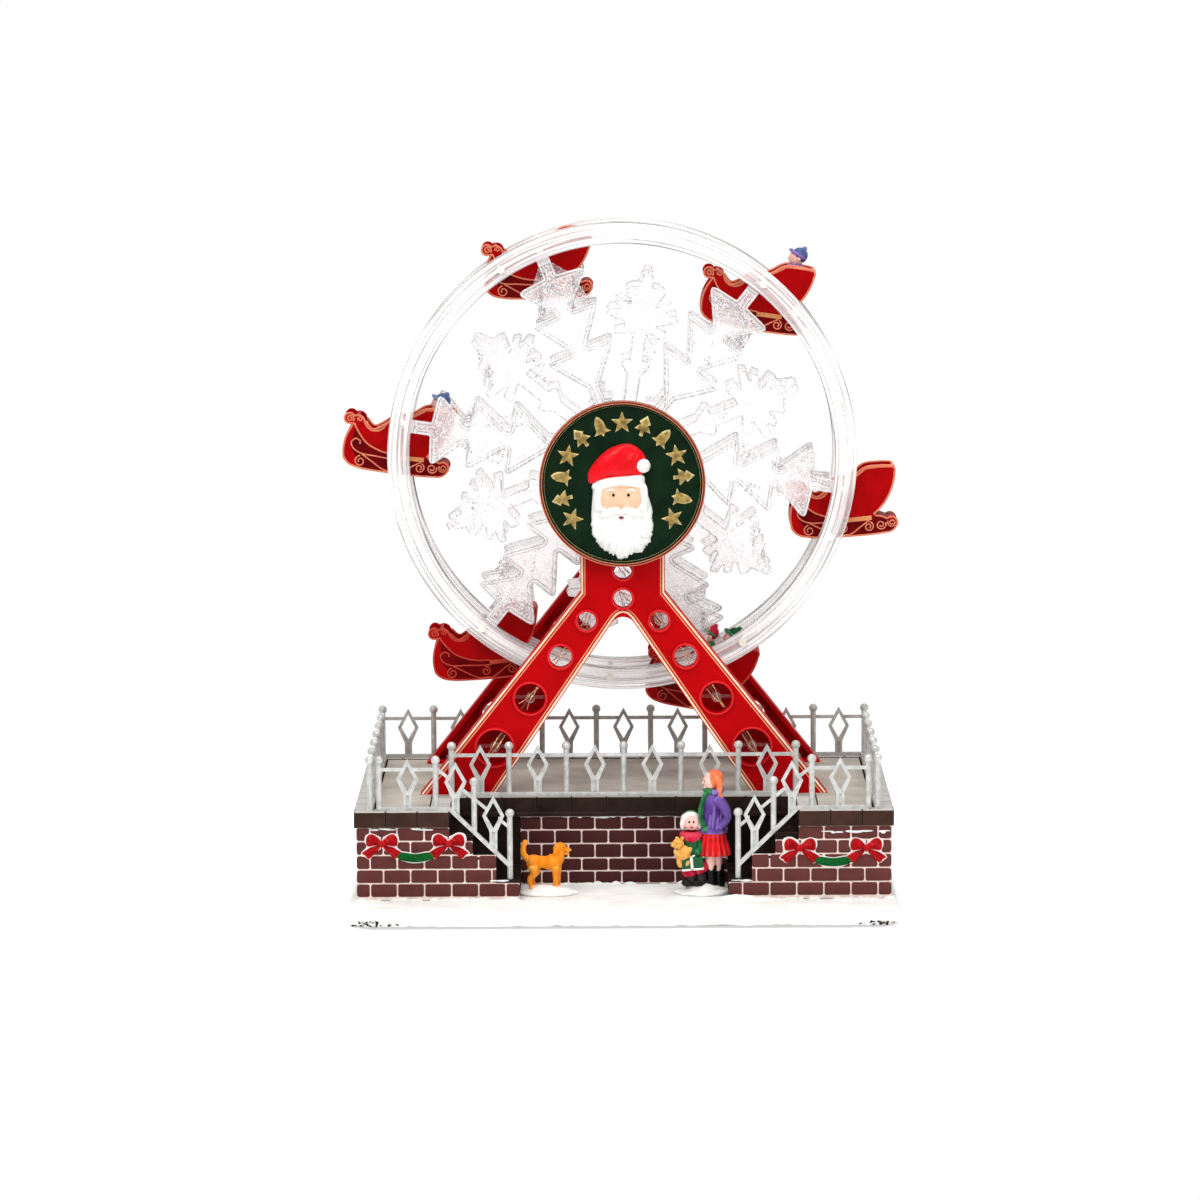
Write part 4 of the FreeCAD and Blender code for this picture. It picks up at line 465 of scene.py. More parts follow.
def smooth_line(points, steps, closed=False):
    """A Catmull-Rom curve through the points."""
    points = [Vector(point) for point in points]
    count = len(points)
    made = []
    spans = count if closed else count - 1
    for index in range(spans):
        if closed:
            four = [points[(index + offset) % count] for offset in (-1, 0, 1, 2)]
        else:
            four = [points[max(0, min(count - 1, index + offset))] for offset in (-1, 0, 1, 2)]
        for step in range(steps):
            t = step / steps
            a, b, c, d = four
            made.append(0.5 * ((2 * b) + (c - a) * t + (2 * a - 5 * b + 4 * c - d) * t * t
                               + (3 * b - a - 3 * c + d) * t * t * t))
    if not closed:
        made.append(points[-1])
    return made


def add_tube(shape, points, radius, sides, flat=1.0, axis=None, closed=False):
    """A tube along a line; radius may be a list; flat squeezes it along the given axis."""
    points = [Vector(point) for point in points]
    count = len(points)
    radii = radius if isinstance(radius, (list, tuple)) else [radius] * count
    axis = Vector(axis) if axis is not None else None
    rings = []
    side = None
    for index, point in enumerate(points):
        if closed:
            ahead = points[(index + 1) % count] - points[index - 1]
        else:
            ahead = points[min(count - 1, index + 1)] - points[max(0, index - 1)]
        ahead.normalize()
        if axis is not None:
            across = axis.cross(ahead)
            other = axis
        else:
            if side is None:
                side = ahead.orthogonal()
            across = (side - ahead * side.dot(ahead))
            across.normalize()
            side = across
            other = ahead.cross(across)
        across = across.normalized()
        rings.append(circle(sides, lambda turn: point + across * cos(turn) * radii[index]
                            + other * sin(turn) * radii[index] * flat))
    add_rings(shape, rings, loop=closed)


def add_ball(shape, centre, radii, turn=None, detail=2, ripple=None):
    other = bmesh.new()
    bmesh.ops.create_icosphere(other, subdivisions=detail + 1, radius=1)
    if isinstance(radii, (int, float)):
        radii = (radii, radii, radii)
    for vert in other.verts:
        push = 1 + (ripple(vert.co) if ripple else 0)
        vert.co = Vector([vert.co[i] * radii[i] * push for i in range(3)])
    matrix = Matrix.Translation(centre)
    if turn is not None:
        matrix = matrix @ turn
    join(shape, other, matrix)


def add_loft(shape, levels, sides, waves=0):
    """Rings stacked upwards: (centre x, centre y, z, half x, half y[, fold depth])."""
    rings = []
    for level in levels:
        across, along, up, half_x, half_y = level[:5]
        depth = level[5] if len(level) > 5 else 0.0
        rings.append(circle(sides, lambda turn: (across + half_x * cos(turn) * (1 + depth * cos(waves * turn)),
                                                 along + half_y * sin(turn) * (1 + depth * cos(waves * turn)), up)))
    add_rings(shape, rings)


def add_dome(shape, outline, apex, base, height, *, rings, foot, power=0.5, detail=None):
    """A puffed relief over an outline of the XZ plane; it rises from the base level towards the viewer."""
    apex = Vector((apex[0], 0, apex[1]))
    edge = [Vector((across, 0, up)) for across, up in outline]
    made = []
    for ring in range(rings, 0, -1):
        share = ring / rings
        level = []
        for point in edge:
            spot = apex + (point - apex) * share
            rise = height * (1 - share ** 2) ** power if ring < rings else 0.0
            if detail and ring < rings:
                rise += detail(spot.x, spot.z) * min(1.0, (1 - share) * 4)
            level.append(Vector((spot.x, base - rise, spot.z)))
        made.append(level)
    under = [Vector((point.x, base + foot, point.z)) for point in made[0]]
    rise = height + (detail(apex.x, apex.z) if detail else 0)
    made = [[shape.verts.new(point) for point in level] for level in [under] + made]
    count = len(edge)
    for first, second in zip(made, made[1:]):
        for index in range(count):
            after = (index + 1) % count
            shape.faces.new((first[index], first[after], second[after], second[index]))
    shape.faces.new(made[0])
    top = shape.verts.new((apex.x, base - rise, apex.z))
    for index in range(count):
        shape.faces.new((made[-1][index], made[-1][(index + 1) % count], top))


def add_sheet(shape, outline, level):
    """A flat face of the XZ plane at a depth."""
    face = shape.faces.new([shape.verts.new((x, level, z)) for x, z in outline])
    bmesh.ops.triangulate(shape, faces=[face])


def circle(count, spot):
    """The points that spot gives for angles evenly round a circle."""
    return [spot(2 * pi * step / count) for step in range(count)]


def tilted(degrees):
    return Matrix.Rotation(radians(degrees), 4, "Y")


def flat_line(points, steps, closed=False):
    """A smooth line through points of the XZ plane."""
    return [(point.x, point.z) for point in smooth_line([(x, 0, z) for x, z in points], steps, closed)]


def rounded_outline(points, steps):
    return flat_line(points, steps, True)


def mirrored(points, middle):
    """A line of the XZ plane: the points, the middle ones, and the points on the other side."""
    return points + middle + [(-x, z) for x, z in points[::-1]]


def spiral(centre, outer, inner, start, turns):
    """Points that wind in from the outer radius to the inner one; angles in degrees, turns may be negative."""
    made = []
    for step in range(21):
        share = step / 20
        reach = outer + (inner - outer) * share
        turn = radians(start + 360 * turns * share)
        made.append((centre[0] + reach * cos(turn), centre[1] + reach * sin(turn)))
    return made


# Looks of the CAD nodes that stay

NODE_LOOKS = {
    "bottom_cover": "black", "base_screws": "steel", "rubber_feet": "rubber", "brick_terrace": "dark",
    "wall_coping": "dark", "deck_floor": "deck", "centre_fence": "fence", "rear_fence": "shaded_rear_fence",
    "left_side_fence": "fence", "right_side_fence": "fence", "left_front_fence": "fence",
    "right_front_fence": "fence", "front_frame": "red", "rear_frame": "red", "frame_screws": "steel",
    "front_lamp_string": "lamp", "rear_lamp_string": "lamp", "medallion_disc": "green",
    "medallion_rim": "copper", "front_wheel": "wheel", "rear_wheel": "wheel", "wheel_hub": "clear",
    "ring_lights": "amber", "axle_bushes": "nylon", "axle": "steel", "pivot_pins": "pin",
    "gearbox_chassis": "nylon", "idler_pin": "steel", "gearbox_cover": "red", "axle_gear": "nylon",
    "idler_gear": "nylon", "motor_pinion": "nylon", "drive_motor": "steel", "battery_box": "black",
    "aa_cells": "cell", "battery_contacts": "steel", "battery_door": "dark", "circuit_board": "board",
    "speaker": "black", "switch_body": "black", "switch_slider": "black",
}
for number in range(1, 7):
    NODE_LOOKS[f"sleigh_{number}"] = "sleigh"


def dress_nodes():
    for name, look in NODE_LOOKS.items():
        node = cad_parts[name]
        if node.material_slots:
            for entry in node.material_slots:
                entry.material = finish(look)
        else:
            node.data.materials.append(finish(look))


dress_nodes()

# Snow

SNOW_HALF_X = 122.2
SNOW_HALF_Y = 101.7
SNOW_TOP = 8.4
SNOW_CORNER = 14.0
UNDER_WALLS_X, UNDER_WALLS_Y = 117.5, 76.0


def snow_sheet():
    shape = bmesh.new()
    columns, rows = 170, 140
    grid = []
    for row in range(rows + 1):
        line = []
        for column in range(columns + 1):
            u = column / columns * 2 - 1
            v = row / rows * 2 - 1
            across, along = u * SNOW_HALF_X, v * SNOW_HALF_Y
            over_x = abs(across) - (SNOW_HALF_X - SNOW_CORNER)
            over_y = abs(along) - (SNOW_HALF_Y - SNOW_CORNER)
            if over_x > 0 and over_y > 0:
                squeeze = max(over_x, over_y) / hypot(over_x, over_y)
                across = copysign(SNOW_HALF_X - SNOW_CORNER + over_x * squeeze, across)
                along = copysign(SNOW_HALF_Y - SNOW_CORNER + over_y * squeeze, along)
                depth = SNOW_CORNER - max(over_x, over_y)
            else:
                depth = min(SNOW_HALF_X - abs(across), SNOW_HALF_Y - abs(along))
            bumpy = noise.noise(Vector((across * 0.05, along * 0.05, 1.3)))
            fine = noise.noise(Vector((across * 0.31, along * 0.31, 4.1)))
            inside = abs(across) < UNDER_WALLS_X and abs(along) < UNDER_WALLS_Y
            lift = 0.0 if inside else 0.5 * bumpy + 0.28 * fine
            fall = max(0.0, 1 - depth / (3.4 + 1.6 * bumpy + 0.6 * fine))
            pull = 1 - 0.004 * fall * (1 + fine)
            up = SNOW_TOP - 0.1 + lift - 6.4 * fall ** 1.7
            line.append((across * pull, along * pull, max(1.7, up), inside))
        grid.append(line)
    verts = [[shape.verts.new(entry[:3]) for entry in line] for line in grid]
    for row in range(rows):
        for column in range(columns):
            across, along = grid[row][column][0], grid[row][column][1]
            if abs(across) < 97 and -28 < along < 60:
                continue
            shape.faces.new((verts[row][column], verts[row][column + 1], verts[row + 1][column + 1],
                             verts[row + 1][column]))
    loose = [vert for vert in shape.verts if not vert.link_faces]
    bmesh.ops.delete(shape, geom=loose, context="VERTS")
    obj = piece("snow_ground", shape, "snow", replaced=("snow_base",), crease=70)
    thick = obj.modifiers.new("thick", "SOLIDIFY")
    thick.thickness = 0.0014
    thick.offset = -1
    return obj


snow_sheet()


def snow_remains():
    """Snow swept up along the foot of the walls."""
    shape = bmesh.new()
    draw = random.Random(7)
    runs = [((-116.8, -75.7), (-46.5, -75.7)), ((46.5, -75.7), (116.8, -75.7)), ((-44, -37.8), (44, -37.8)),
            ((-117, -74), (-117, 74)), ((117, -74), (117, 74)), ((-116, 76), (116, 76))]
    for (x0, y0), (x1, y1) in runs:
        length = hypot(x1 - x0, y1 - y0)
        spot = 0.0
        while spot < length:
            size_here = draw.uniform(2.0, 7.0)
            if draw.random() < 0.62:
                share = (spot + size_here / 2) / length
                centre = (x0 + (x1 - x0) * min(share, 1), y0 + (y1 - y0) * min(share, 1), SNOW_TOP - 0.2)
                rise = draw.uniform(0.7, 1.7)
                half_x = size_here * 0.6 if abs(x1 - x0) > 1 else 0.8
                half_y = size_here * 0.6 if abs(y1 - y0) > 1 else 0.8
                seed = draw.uniform(0, 50)
                add_ball(shape, centre, (half_x, half_y, rise), detail=1,
                         ripple=lambda co: 0.25 * noise.noise(co * 2.1 + Vector((seed, 0, 0))))
            spot += size_here
    for across, along, half_x, half_y, rise in ((50.0, -77.0, 9.0, 3.4, 2.6), (60.0, -77.6, 11.0, 3.2, 1.5),
                                                (102.0, -77.4, 13.0, 2.8, 1.1), (-60.0, -77.0, 12.0, 2.4, 0.9)):
        add_ball(shape, (across, along, SNOW_TOP - 0.3), (half_x, half_y, rise), detail=3,
                 ripple=lambda co: 0.12 * noise.noise(co * 3.0 + Vector((across, 0, 0))))
    piece("snow_remains", shape, "snow", crease=60)


snow_remains()


def soil_specks():
    """Small dark spots where the ground shows at the foot of the snow."""
    shape = bmesh.new()
    draw = random.Random(11)
    for spread, count in (((-115.5, -107), 22), ((-118.5, -96), 10), ((106, 117), 26), ((100, 104), 3)):
        for _ in range(count):
            across = draw.uniform(*spread)
            half = draw.uniform(0.22, 0.72)
            up = draw.uniform(1.9, 3.9) if across < 0 else draw.uniform(1.9, 3.2)
            add_ball(shape, (across, -101.3 + (up - 1.9) * 0.35, up), (half, 0.35, half * draw.uniform(0.35, 0.8)),
                     detail=1)
    piece("soil_specks", shape, "black")


soil_specks()

# Brick walls

WALL_X, WALL_Y = 116.6, 75.5
COURT_X, COURT_Y = 45.8, 37.5
BRICK_LENGTH = 11.85
MORTAR = 0.6
FRONT_ROWS = (8.6, 9.8, 16.0, 22.2, 28.5, 34.7, 40.9)
RECESS_ROWS = (8.6, 14.3, 20.1, 26.6, 32.8, 38.9)
STEP_ENDS = ((17.2, COURT_X), (27.5, 56.0), (37.8, 66.2), (99.0, 76.4))


def step_end(up):
    return next(end for level, end in STEP_ENDS if up < level)


def add_brick(shape, spot, begin, end, low, high):
    """One brick with rounded corners and a softened face."""
    def ring(out, inset):
        radius = 0.85 - inset * 0.5
        radius = min(radius, (end - begin) / 2 - inset - 0.05)
        corners = ((end - inset, high - inset, 0), (begin + inset, high - inset, 90),
                   (begin + inset, low + inset, 180), (end - inset, low + inset, 270))
        made = []
        for across, up, start in corners:
            middle_x = across - radius if start in (0, 270) else across + radius
            middle_z = up - radius if start in (0, 90) else up + radius
            for step in range(4):
                turn = radians(start + 30 * step)
                made.append(Vector(spot(middle_x + radius * cos(turn), out, middle_z + radius * sin(turn))))
        return made
    add_rings(shape, [ring(-0.2, 0.0), ring(0.18, 0.0), ring(0.34, 0.22)])


def around_holes(begin, end, low, high, holes):
    """What is left of an upright rectangle (begin, end, low, high) when holes are cut out of it."""
    parts = [(begin, end, low, high)]
    for left, right, bottom, top in holes:
        kept = []
        for part_begin, part_end, part_low, part_high in parts:
            if part_end <= left or part_begin >= right or part_high <= bottom or part_low >= top:
                kept.append((part_begin, part_end, part_low, part_high))
                continue
            inner = max(part_begin, left), min(part_end, right)
            kept += [(part_begin, left, part_low, part_high), (right, part_end, part_low, part_high),
                     (*inner, part_low, bottom), (*inner, top, part_high)]
        parts = kept
    return [part for part in parts if part[1] - part[0] > 0.8 and part[3] - part[2] > 0.8]


def add_wall_block(shape, spot, begin, end, low, high, inner, outer, soft=0.0, steps=1):
    """A block on a wall, from the depth inner to the depth outer."""
    near, far = spot(begin, inner, low), spot(end, outer, high)
    corners = [[pick(a, b) for a, b in zip(near, far)] for pick in (min, max)]
    add_block(shape, *corners, soft, steps)


def brick_wall(bricks, joints, spot, rows, ends, offsets, openings=(), clear=()):
    """One wall of bricks in running bond; spot maps (along the wall, out of it, up) to the frame.

    The joints leave the openings free, the bricks also the clear room round them.
    """
    for row, (low, high) in enumerate(zip(rows, rows[1:])):
        middle = (low + high) / 2
        finish_at = ends(middle)
        for part in around_holes(0.0, finish_at, low, high, openings):
            add_wall_block(joints, spot, *part, 0.0, 0.12)
        first = offsets[row % 2] - BRICK_LENGTH
        while first < finish_at:
            begin = max(first + MORTAR / 2, 0.0)
            end = min(first + BRICK_LENGTH - MORTAR / 2, finish_at)
            first += BRICK_LENGTH
            for left, right, bottom, top in around_holes(begin, end, low + MORTAR / 2, high - MORTAR / 2, clear):
                if top - bottom < 2.0 or right - left < 2.0:
                    add_wall_block(bricks, spot, left, right, bottom, top, -0.2, 0.3, 0.15, 2)
                else:
                    add_brick(bricks, spot, left, right, bottom, top)


def brick_walls():
    bricks, deep, joints = bmesh.new(), bmesh.new(), bmesh.new()
    offsets = (5.6, 11.4)
    for side in (-1, 1):
        brick_wall(bricks, joints, lambda u, out, z: (side * (WALL_X - u), -WALL_Y - out, z), FRONT_ROWS,
                   lambda z: WALL_X - step_end(z), offsets[::-1])
        brick_wall(bricks, joints, lambda u, out, z: (side * (WALL_X + out), -WALL_Y + u, z), FRONT_ROWS,
                   lambda z: WALL_Y * 2, offsets)
    brick_wall(deep, joints, lambda u, out, z: (-COURT_X + u, -COURT_Y - out, z), RECESS_ROWS,
               lambda z: COURT_X * 2, (9.2, 3.3))
    doorway, door_room, switch_slot, switch_room = (
        (WALL_X - left, WALL_X - right, low, high) for left, right, low, high in (
            (24.2, -24.2, 11.0, 27.6), (27.6, -27.6, 8.8, 31.0), (69.2, 58.8, 20.2, 23.8), (69.9, 58.1, 19.5, 24.5)))
    brick_wall(bricks, joints, lambda u, out, z: (WALL_X - u, WALL_Y + out, z), FRONT_ROWS,
               lambda z: WALL_X * 2, offsets, (doorway, switch_slot), (door_room, switch_room))
    piece("wall_bricks", bricks, "brick", crease=35)
    piece("recess_bricks", deep, "shaded_recess_brick", crease=35)
    piece("mortar_joints", joints, "mortar")


brick_walls()


def snow_patches():
    """Snow that has stuck below the coping and on the stair edges."""
    shape = bmesh.new()
    draw = random.Random(23)
    runs = ((-116, -84, -75.95, 40.3, 9), (86, 114, -75.95, 38.2, 12), (-60, -48, -75.95, 17.0, 4),
            (48, 60, -75.95, 16.8, 3), (-44, 44, -38.0, 38.85, 26))
    for start, end, along, up, count in runs:
        for _ in range(count):
            across = draw.uniform(start, end)
            half = draw.uniform(0.8, 3.2)
            seed = draw.uniform(0, 40)
            add_ball(shape, (across, along, up + draw.uniform(-0.5, 0.3)), (half, 0.32, draw.uniform(0.18, 0.5)),
                     ripple=lambda co: 0.35 * noise.noise(co * 2.3 + Vector((seed, 0, 0))))
    piece("snow_patches", shape, "snow", crease=60)


snow_patches()


def coping_stones():
    shape, recess = bmesh.new(), bmesh.new()
    low, high = 40.75, 47.75
    out = 0.22
    stone = 15.7
    runs = ((shape, "x", (1, -1), -117.9, -76.4, -76.8 - out, -68.4),
            (shape, "x", (1,), -117.9, 117.9, 68.4, 76.8 + out),
            (recess, "x", (1,), -84.9, 84.9, -38.8 - out, -30.3),
            (shape, "y", (1, -1), -68.3, 68.3, -117.9 - out, -109.5),
            (shape, "y", (1, -1), -68.2, -38.9, -84.9, -76.4 + out))
    for stones, axis, sides, start, end, near, far in runs:
        count = max(1, round((end - start) / stone))
        pitch = (end - start) / count
        for step in range(count):
            a = start + pitch * step + 0.2
            b = start + pitch * (step + 1) - 0.2
            for side in sides:
                across, along = ((a, b), (near, far)) if axis == "x" else ((near, far), (a, b))
                left, right = sorted(side * x for x in across)
                add_block(stones, (left, along[0], low), (right, along[1], high), 0.45)
    piece("coping_stones", shape, "stone", crease=35)
    add_block(recess, (-76.3, -38.95, 39.0), (76.3, -37.6, 40.9), 0.3)
    piece("recess_coping", recess, "shaded_recess_stone")


coping_stones()


def tread_slabs():
    """The top of each stair step, near-black as painted shade over the stairs, with worn edges."""
    shape = bmesh.new()
    for side in (-1, 1):
        for step in range(3):
            near = COURT_X + 10.2 * step
            up = 17.2 + 10.3 * step
            xs = sorted((side * (near - 0.25), side * (near + 10.0)))
            add_block(shape, (xs[0], -75.75, up - 1.1), (xs[1], -39.2, up + 0.15), 0.3)
    piece("stair_treads", shape, "dark")


tread_slabs()

# Fence webs

FENCE_TOPS = (49.2, 54.7)
CENTRE_BAY, REAR_BAY, SIDE_BAY = 25.45, 25.1, 23.95
CENTRE_FENCE, REAR_FENCE, FRONT_FENCE = -34.5, 72.5, -72.5
SIDE_FENCE, REAR_END = 111.0, 99.65
LEVEL_WEBS = (("centre_webs", "fence", "x", -CENTRE_BAY * 2.5, CENTRE_BAY, 6, CENTRE_FENCE),
              ("rear_webs", "shaded_rear_fence", "x", -REAR_BAY * 3, REAR_BAY, 7, REAR_FENCE),
              ("rear_end_webs", "shaded_rear_fence", "x", -REAR_END, REAR_END * 2, 2, REAR_FENCE),
              ("left_side_webs", "fence", "y", FRONT_FENCE + SIDE_BAY / 2, SIDE_BAY, 6, -SIDE_FENCE),
              ("right_side_webs", "fence", "y", FRONT_FENCE + SIDE_BAY / 2, SIDE_BAY, 6, SIDE_FENCE),
              ("front_webs", "fence", "x", -94.55, 189.1, 2, FRONT_FENCE))
STAIR_WEBS = ((73.5, 46.2, 53.4), (57.1, 30.6, 38.4))


def fence_webs():
    """The thin web between the two stems under each diamond."""
    for name, look, axis, start, pitch, count, along in LEVEL_WEBS:
        shape = bmesh.new()
        for step in range(count):
            spot = start + pitch * step
            low, high = (spot - 0.8, along - 0.1), (spot + 0.8, along + 0.5)
            if axis == "y":
                low, high = low[::-1], high[::-1]
            add_block(shape, (*low, FENCE_TOPS[0]), (*high, FENCE_TOPS[1]), 0.1)
        piece(name, shape, look)
    stairs = bmesh.new()
    for spot, low, high in STAIR_WEBS:
        for side in (-1, 1):
            add_block(stairs, (side * spot - 0.8, FRONT_FENCE - 0.1, low),
                      (side * spot + 0.8, FRONT_FENCE + 0.5, high), 0.1)
    piece("stair_webs", stairs, "fence")


fence_webs()

# Frame edging and lamp leads

FRAME_OUTER = [(-89.6, 47.6), (-18.0, 137.6)]
FRAME_INNER = [(-57.9, 47.6), (-6.3, 123.6), (-4.2, 126.6), (-2.3, 128.4)]
CAP_RADIUS, CAP_HEIGHT = 18.1, 193.0
FRAME_FRONT = -28.8
MIRROR_PLANE = 17.95


def frame_edging():
    """Two painted lines beside each edge of the frames: pale gold outside, copper inside."""
    for name, face, way in (("front", FRAME_FRONT, -1), ("rear", 2 * MIRROR_PLANE - FRAME_FRONT, 1)):
        pale, copper = bmesh.new(), bmesh.new()
        turns = [pi - pi * step / 24 for step in range(25)]
        cap = [(CAP_RADIUS * cos(turn), CAP_HEIGHT + CAP_RADIUS * sin(turn)) for turn in turns]
        outer = mirrored(FRAME_OUTER, cap)
        inner = mirrored(FRAME_INNER, [(0, 129.2)])
        for route, push in ((outer, 1), (inner, -1)):
            points = [Vector((x, face + way * 0.05, z)) for x, z in route]
            asides = []
            for index in range(len(points)):
                ahead = points[min(len(points) - 1, index + 1)] - points[max(0, index - 1)]
                asides.append(Vector((ahead.z, 0, -ahead.x)).normalized() * push)
            for shape, inset, radius in ((pale, 0.05, 0.42), (copper, 1.35, 0.3)):
                add_tube(shape, [point + aside * inset for point, aside in zip(points, asides)], radius, 8, 0.45,
                         (0, 1, 0))
        piece(f"{name}_frame_edging", pale, "edge_gold")
        piece(f"{name}_frame_lines", copper, "edge_copper")


frame_edging()

LEAD_LEVEL, RIM_LEVEL, BACK_LEVEL = -24.6, -29.55, -20.2
LAMP_PLACES = ((0.0, 147.8, 4.1), (0.0, 135.0, 4.1), (16.1, 125.0, 4.1), (27.8, 109.1, 4.9),
               (41.4, 90.4, 6.7), (57.2, 68.4, 8.0))


def lamp_leads():
    """Bent brass leads at each lamp, and a raised rim round each hole in a lighter red, which is a painted highlight.
    """
    leads, rims, backs = bmesh.new(), bmesh.new(), bmesh.new()
    draw = random.Random(5)
    for across, up, radius in LAMP_PLACES:
        for side in ((1,) if across == 0 else (-1, 1)):
            for lead in (-1, 1):
                turn = radians(58 if side < 0 else 122) + draw.uniform(-0.25, 0.25)
                reach = radius * 0.84
                along = Vector((cos(turn), 0, sin(turn)))
                aside = Vector((-along.z, 0, along.x)) * lead
                centre = Vector((side * across, LEAD_LEVEL, up))
                route = [centre + along * reach + aside * 0.5, centre + along * reach * 0.5 + aside * 0.9,
                         centre + aside * draw.uniform(0.3, 1.1) + Vector((0, -1.2, 0)),
                         centre - along * reach * 0.5 + aside * 0.8, centre - along * reach + aside * 1.4]
                add_tube(leads, smooth_line(route, 5), 0.26, 6)
            ring = circle(36, lambda turn: (side * across + (radius + 0.55) * cos(turn), RIM_LEVEL,
                                            up + (radius + 0.55) * sin(turn)))
            add_tube(rims, ring, 0.36, 6, 0.8, (0, 1, 0), closed=True)
            if radius > 5:
                plate = bmesh.new()
                bmesh.ops.create_cone(plate, cap_ends=True, segments=48, radius1=radius + 1.0, radius2=radius + 1.0,
                                      depth=0.4)
                join(backs, plate, Matrix.Translation((side * across, BACK_LEVEL, up)) @ Matrix.Rotation(
                    radians(90), 4, "X"))
    piece("lamp_backs", backs, "back_red")
    piece("lamp_leads", leads, "brass")
    piece("lamp_rims", rims, "lit_rim_red")


lamp_leads()

COVER_FACE = 93.2
COVER_MIDDLE = 176.0


def cover_trim():
    """Moulded rings and ribs on the rear of the gearbox cover, and its three screws."""
    ribs, screws, slots = bmesh.new(), bmesh.new(), bmesh.new()

    def at(reach, degrees):
        turn = radians(degrees)
        return Vector((reach * cos(turn), COVER_FACE, COVER_MIDDLE + reach * sin(turn)))

    for reach, thick in ((31.6, 0.9), (28.6, 0.5), (12.6, 0.7)):
        add_tube(ribs, [at(reach, 3 * step) for step in range(120)], thick, 8, 0.7, (0, 1, 0), closed=True)
    for step in range(12):
        add_tube(ribs, [at(reach, 30 * step + 15) for reach in (14.6, 15.2, 20.0, 25.8, 26.4)],
                 [0.3, 0.65, 0.75, 0.65, 0.3], 8, 0.8, (0, 1, 0))
    for step in range(3):
        middle = at(21.0, 90 + 120 * step)
        add_ball(screws, middle, (2.0, 0.75, 2.0), detail=3)
        # The slots are black blocks set into the steel screw heads: painted shade for the dark inside of a slot.
        for across, up in ((1.2, 0.22), (0.22, 1.2)):
            add_block(slots, middle + Vector((-across, 0.3, -up)), middle + Vector((across, 0.78, up)))
    piece("cover_ribs", ribs, "red", crease=50)
    piece("cover_screws", screws, "steel", crease=50)
    piece("cover_screw_slots", slots, "black")


cover_trim()

# Medallion

DISC_FACE = -35.4
RIM_FACE = -36.8
MOTIF_CIRCLE = 27


def star_points(points, outer, inner):
    made = []
    for index in range(points * 2):
        reach = outer if index % 2 == 0 else inner
        turn = radians(90 + 180 * index / points)
        made.append((reach * cos(turn), reach * sin(turn)))
    return made


TREE = [(0, 5.04)] + mirrored([(-2.64, 1.68), (-1.32, 1.68), (-3.72, -1.92), (-0.84, -1.92), (-0.84, -4.32)], [])
BELL = [(0, 4.8)] + mirrored([(-1.08, 3.84), (-2.04, 1.92), (-2.4, -1.44), (-3.84, -3.12), (-1.08, -3.12)],
                             [(0, -4.56)])


def medallion_motifs():
    shape = bmesh.new()
    for index in range(13):
        turn = 90 + 125 - 250 * index / 12
        pattern = (star_points(5, 5.04, 2.16), TREE, BELL)[index % 3]
        swing = radians(turn - 90)
        reach = radians(turn)
        middle = (MOTIF_CIRCLE * cos(reach), MEDALLION_Z + MOTIF_CIRCLE * sin(reach))
        fine = []
        for a, b in zip(pattern, pattern[1:] + pattern[:1]):
            for step in range(3):
                fine.append((a[0] + (b[0] - a[0]) * step / 3, a[1] + (b[1] - a[1]) * step / 3))
        placed = [(middle[0] + x * cos(swing) - z * sin(swing),
                   middle[1] + x * sin(swing) + z * cos(swing)) for x, z in fine]
        power = 1.0 if index % 3 == 0 else 0.45
        add_dome(shape, placed, middle, DISC_FACE - 0.25, 0.65, rings=5, power=power, foot=0.25)
    piece("medallion_motifs", shape, "gold", replaced=("medallion_ornaments",), crease=30)


medallion_motifs()


def medallion_lines():
    """A thin gold line inside the rim, a copper line where the rim's green ends, and a copper line along the rim's
    outer edge that is a painted highlight.
    """
    gold, copper = bmesh.new(), bmesh.new()
    # The copper line at radius 36.5 on the rim's outer edge is a painted highlight.
    for shape, radius, level, thick in ((copper, 35.5, RIM_FACE - 0.02, 0.16), (copper, 36.5, RIM_FACE + 0.1, 0.16),
                                        (gold, 34.5, DISC_FACE - 0.05, 0.1)):
        ring = circle(120, lambda turn: (radius * cos(turn), level, MEDALLION_Z + radius * sin(turn)))
        add_tube(shape, ring, thick, 6, 1.0, (0, 1, 0), closed=True)
    piece("medallion_gold_lines", gold, "gold", crease=60)
    piece("medallion_copper_line", copper, "edge_copper", crease=60)


medallion_lines()


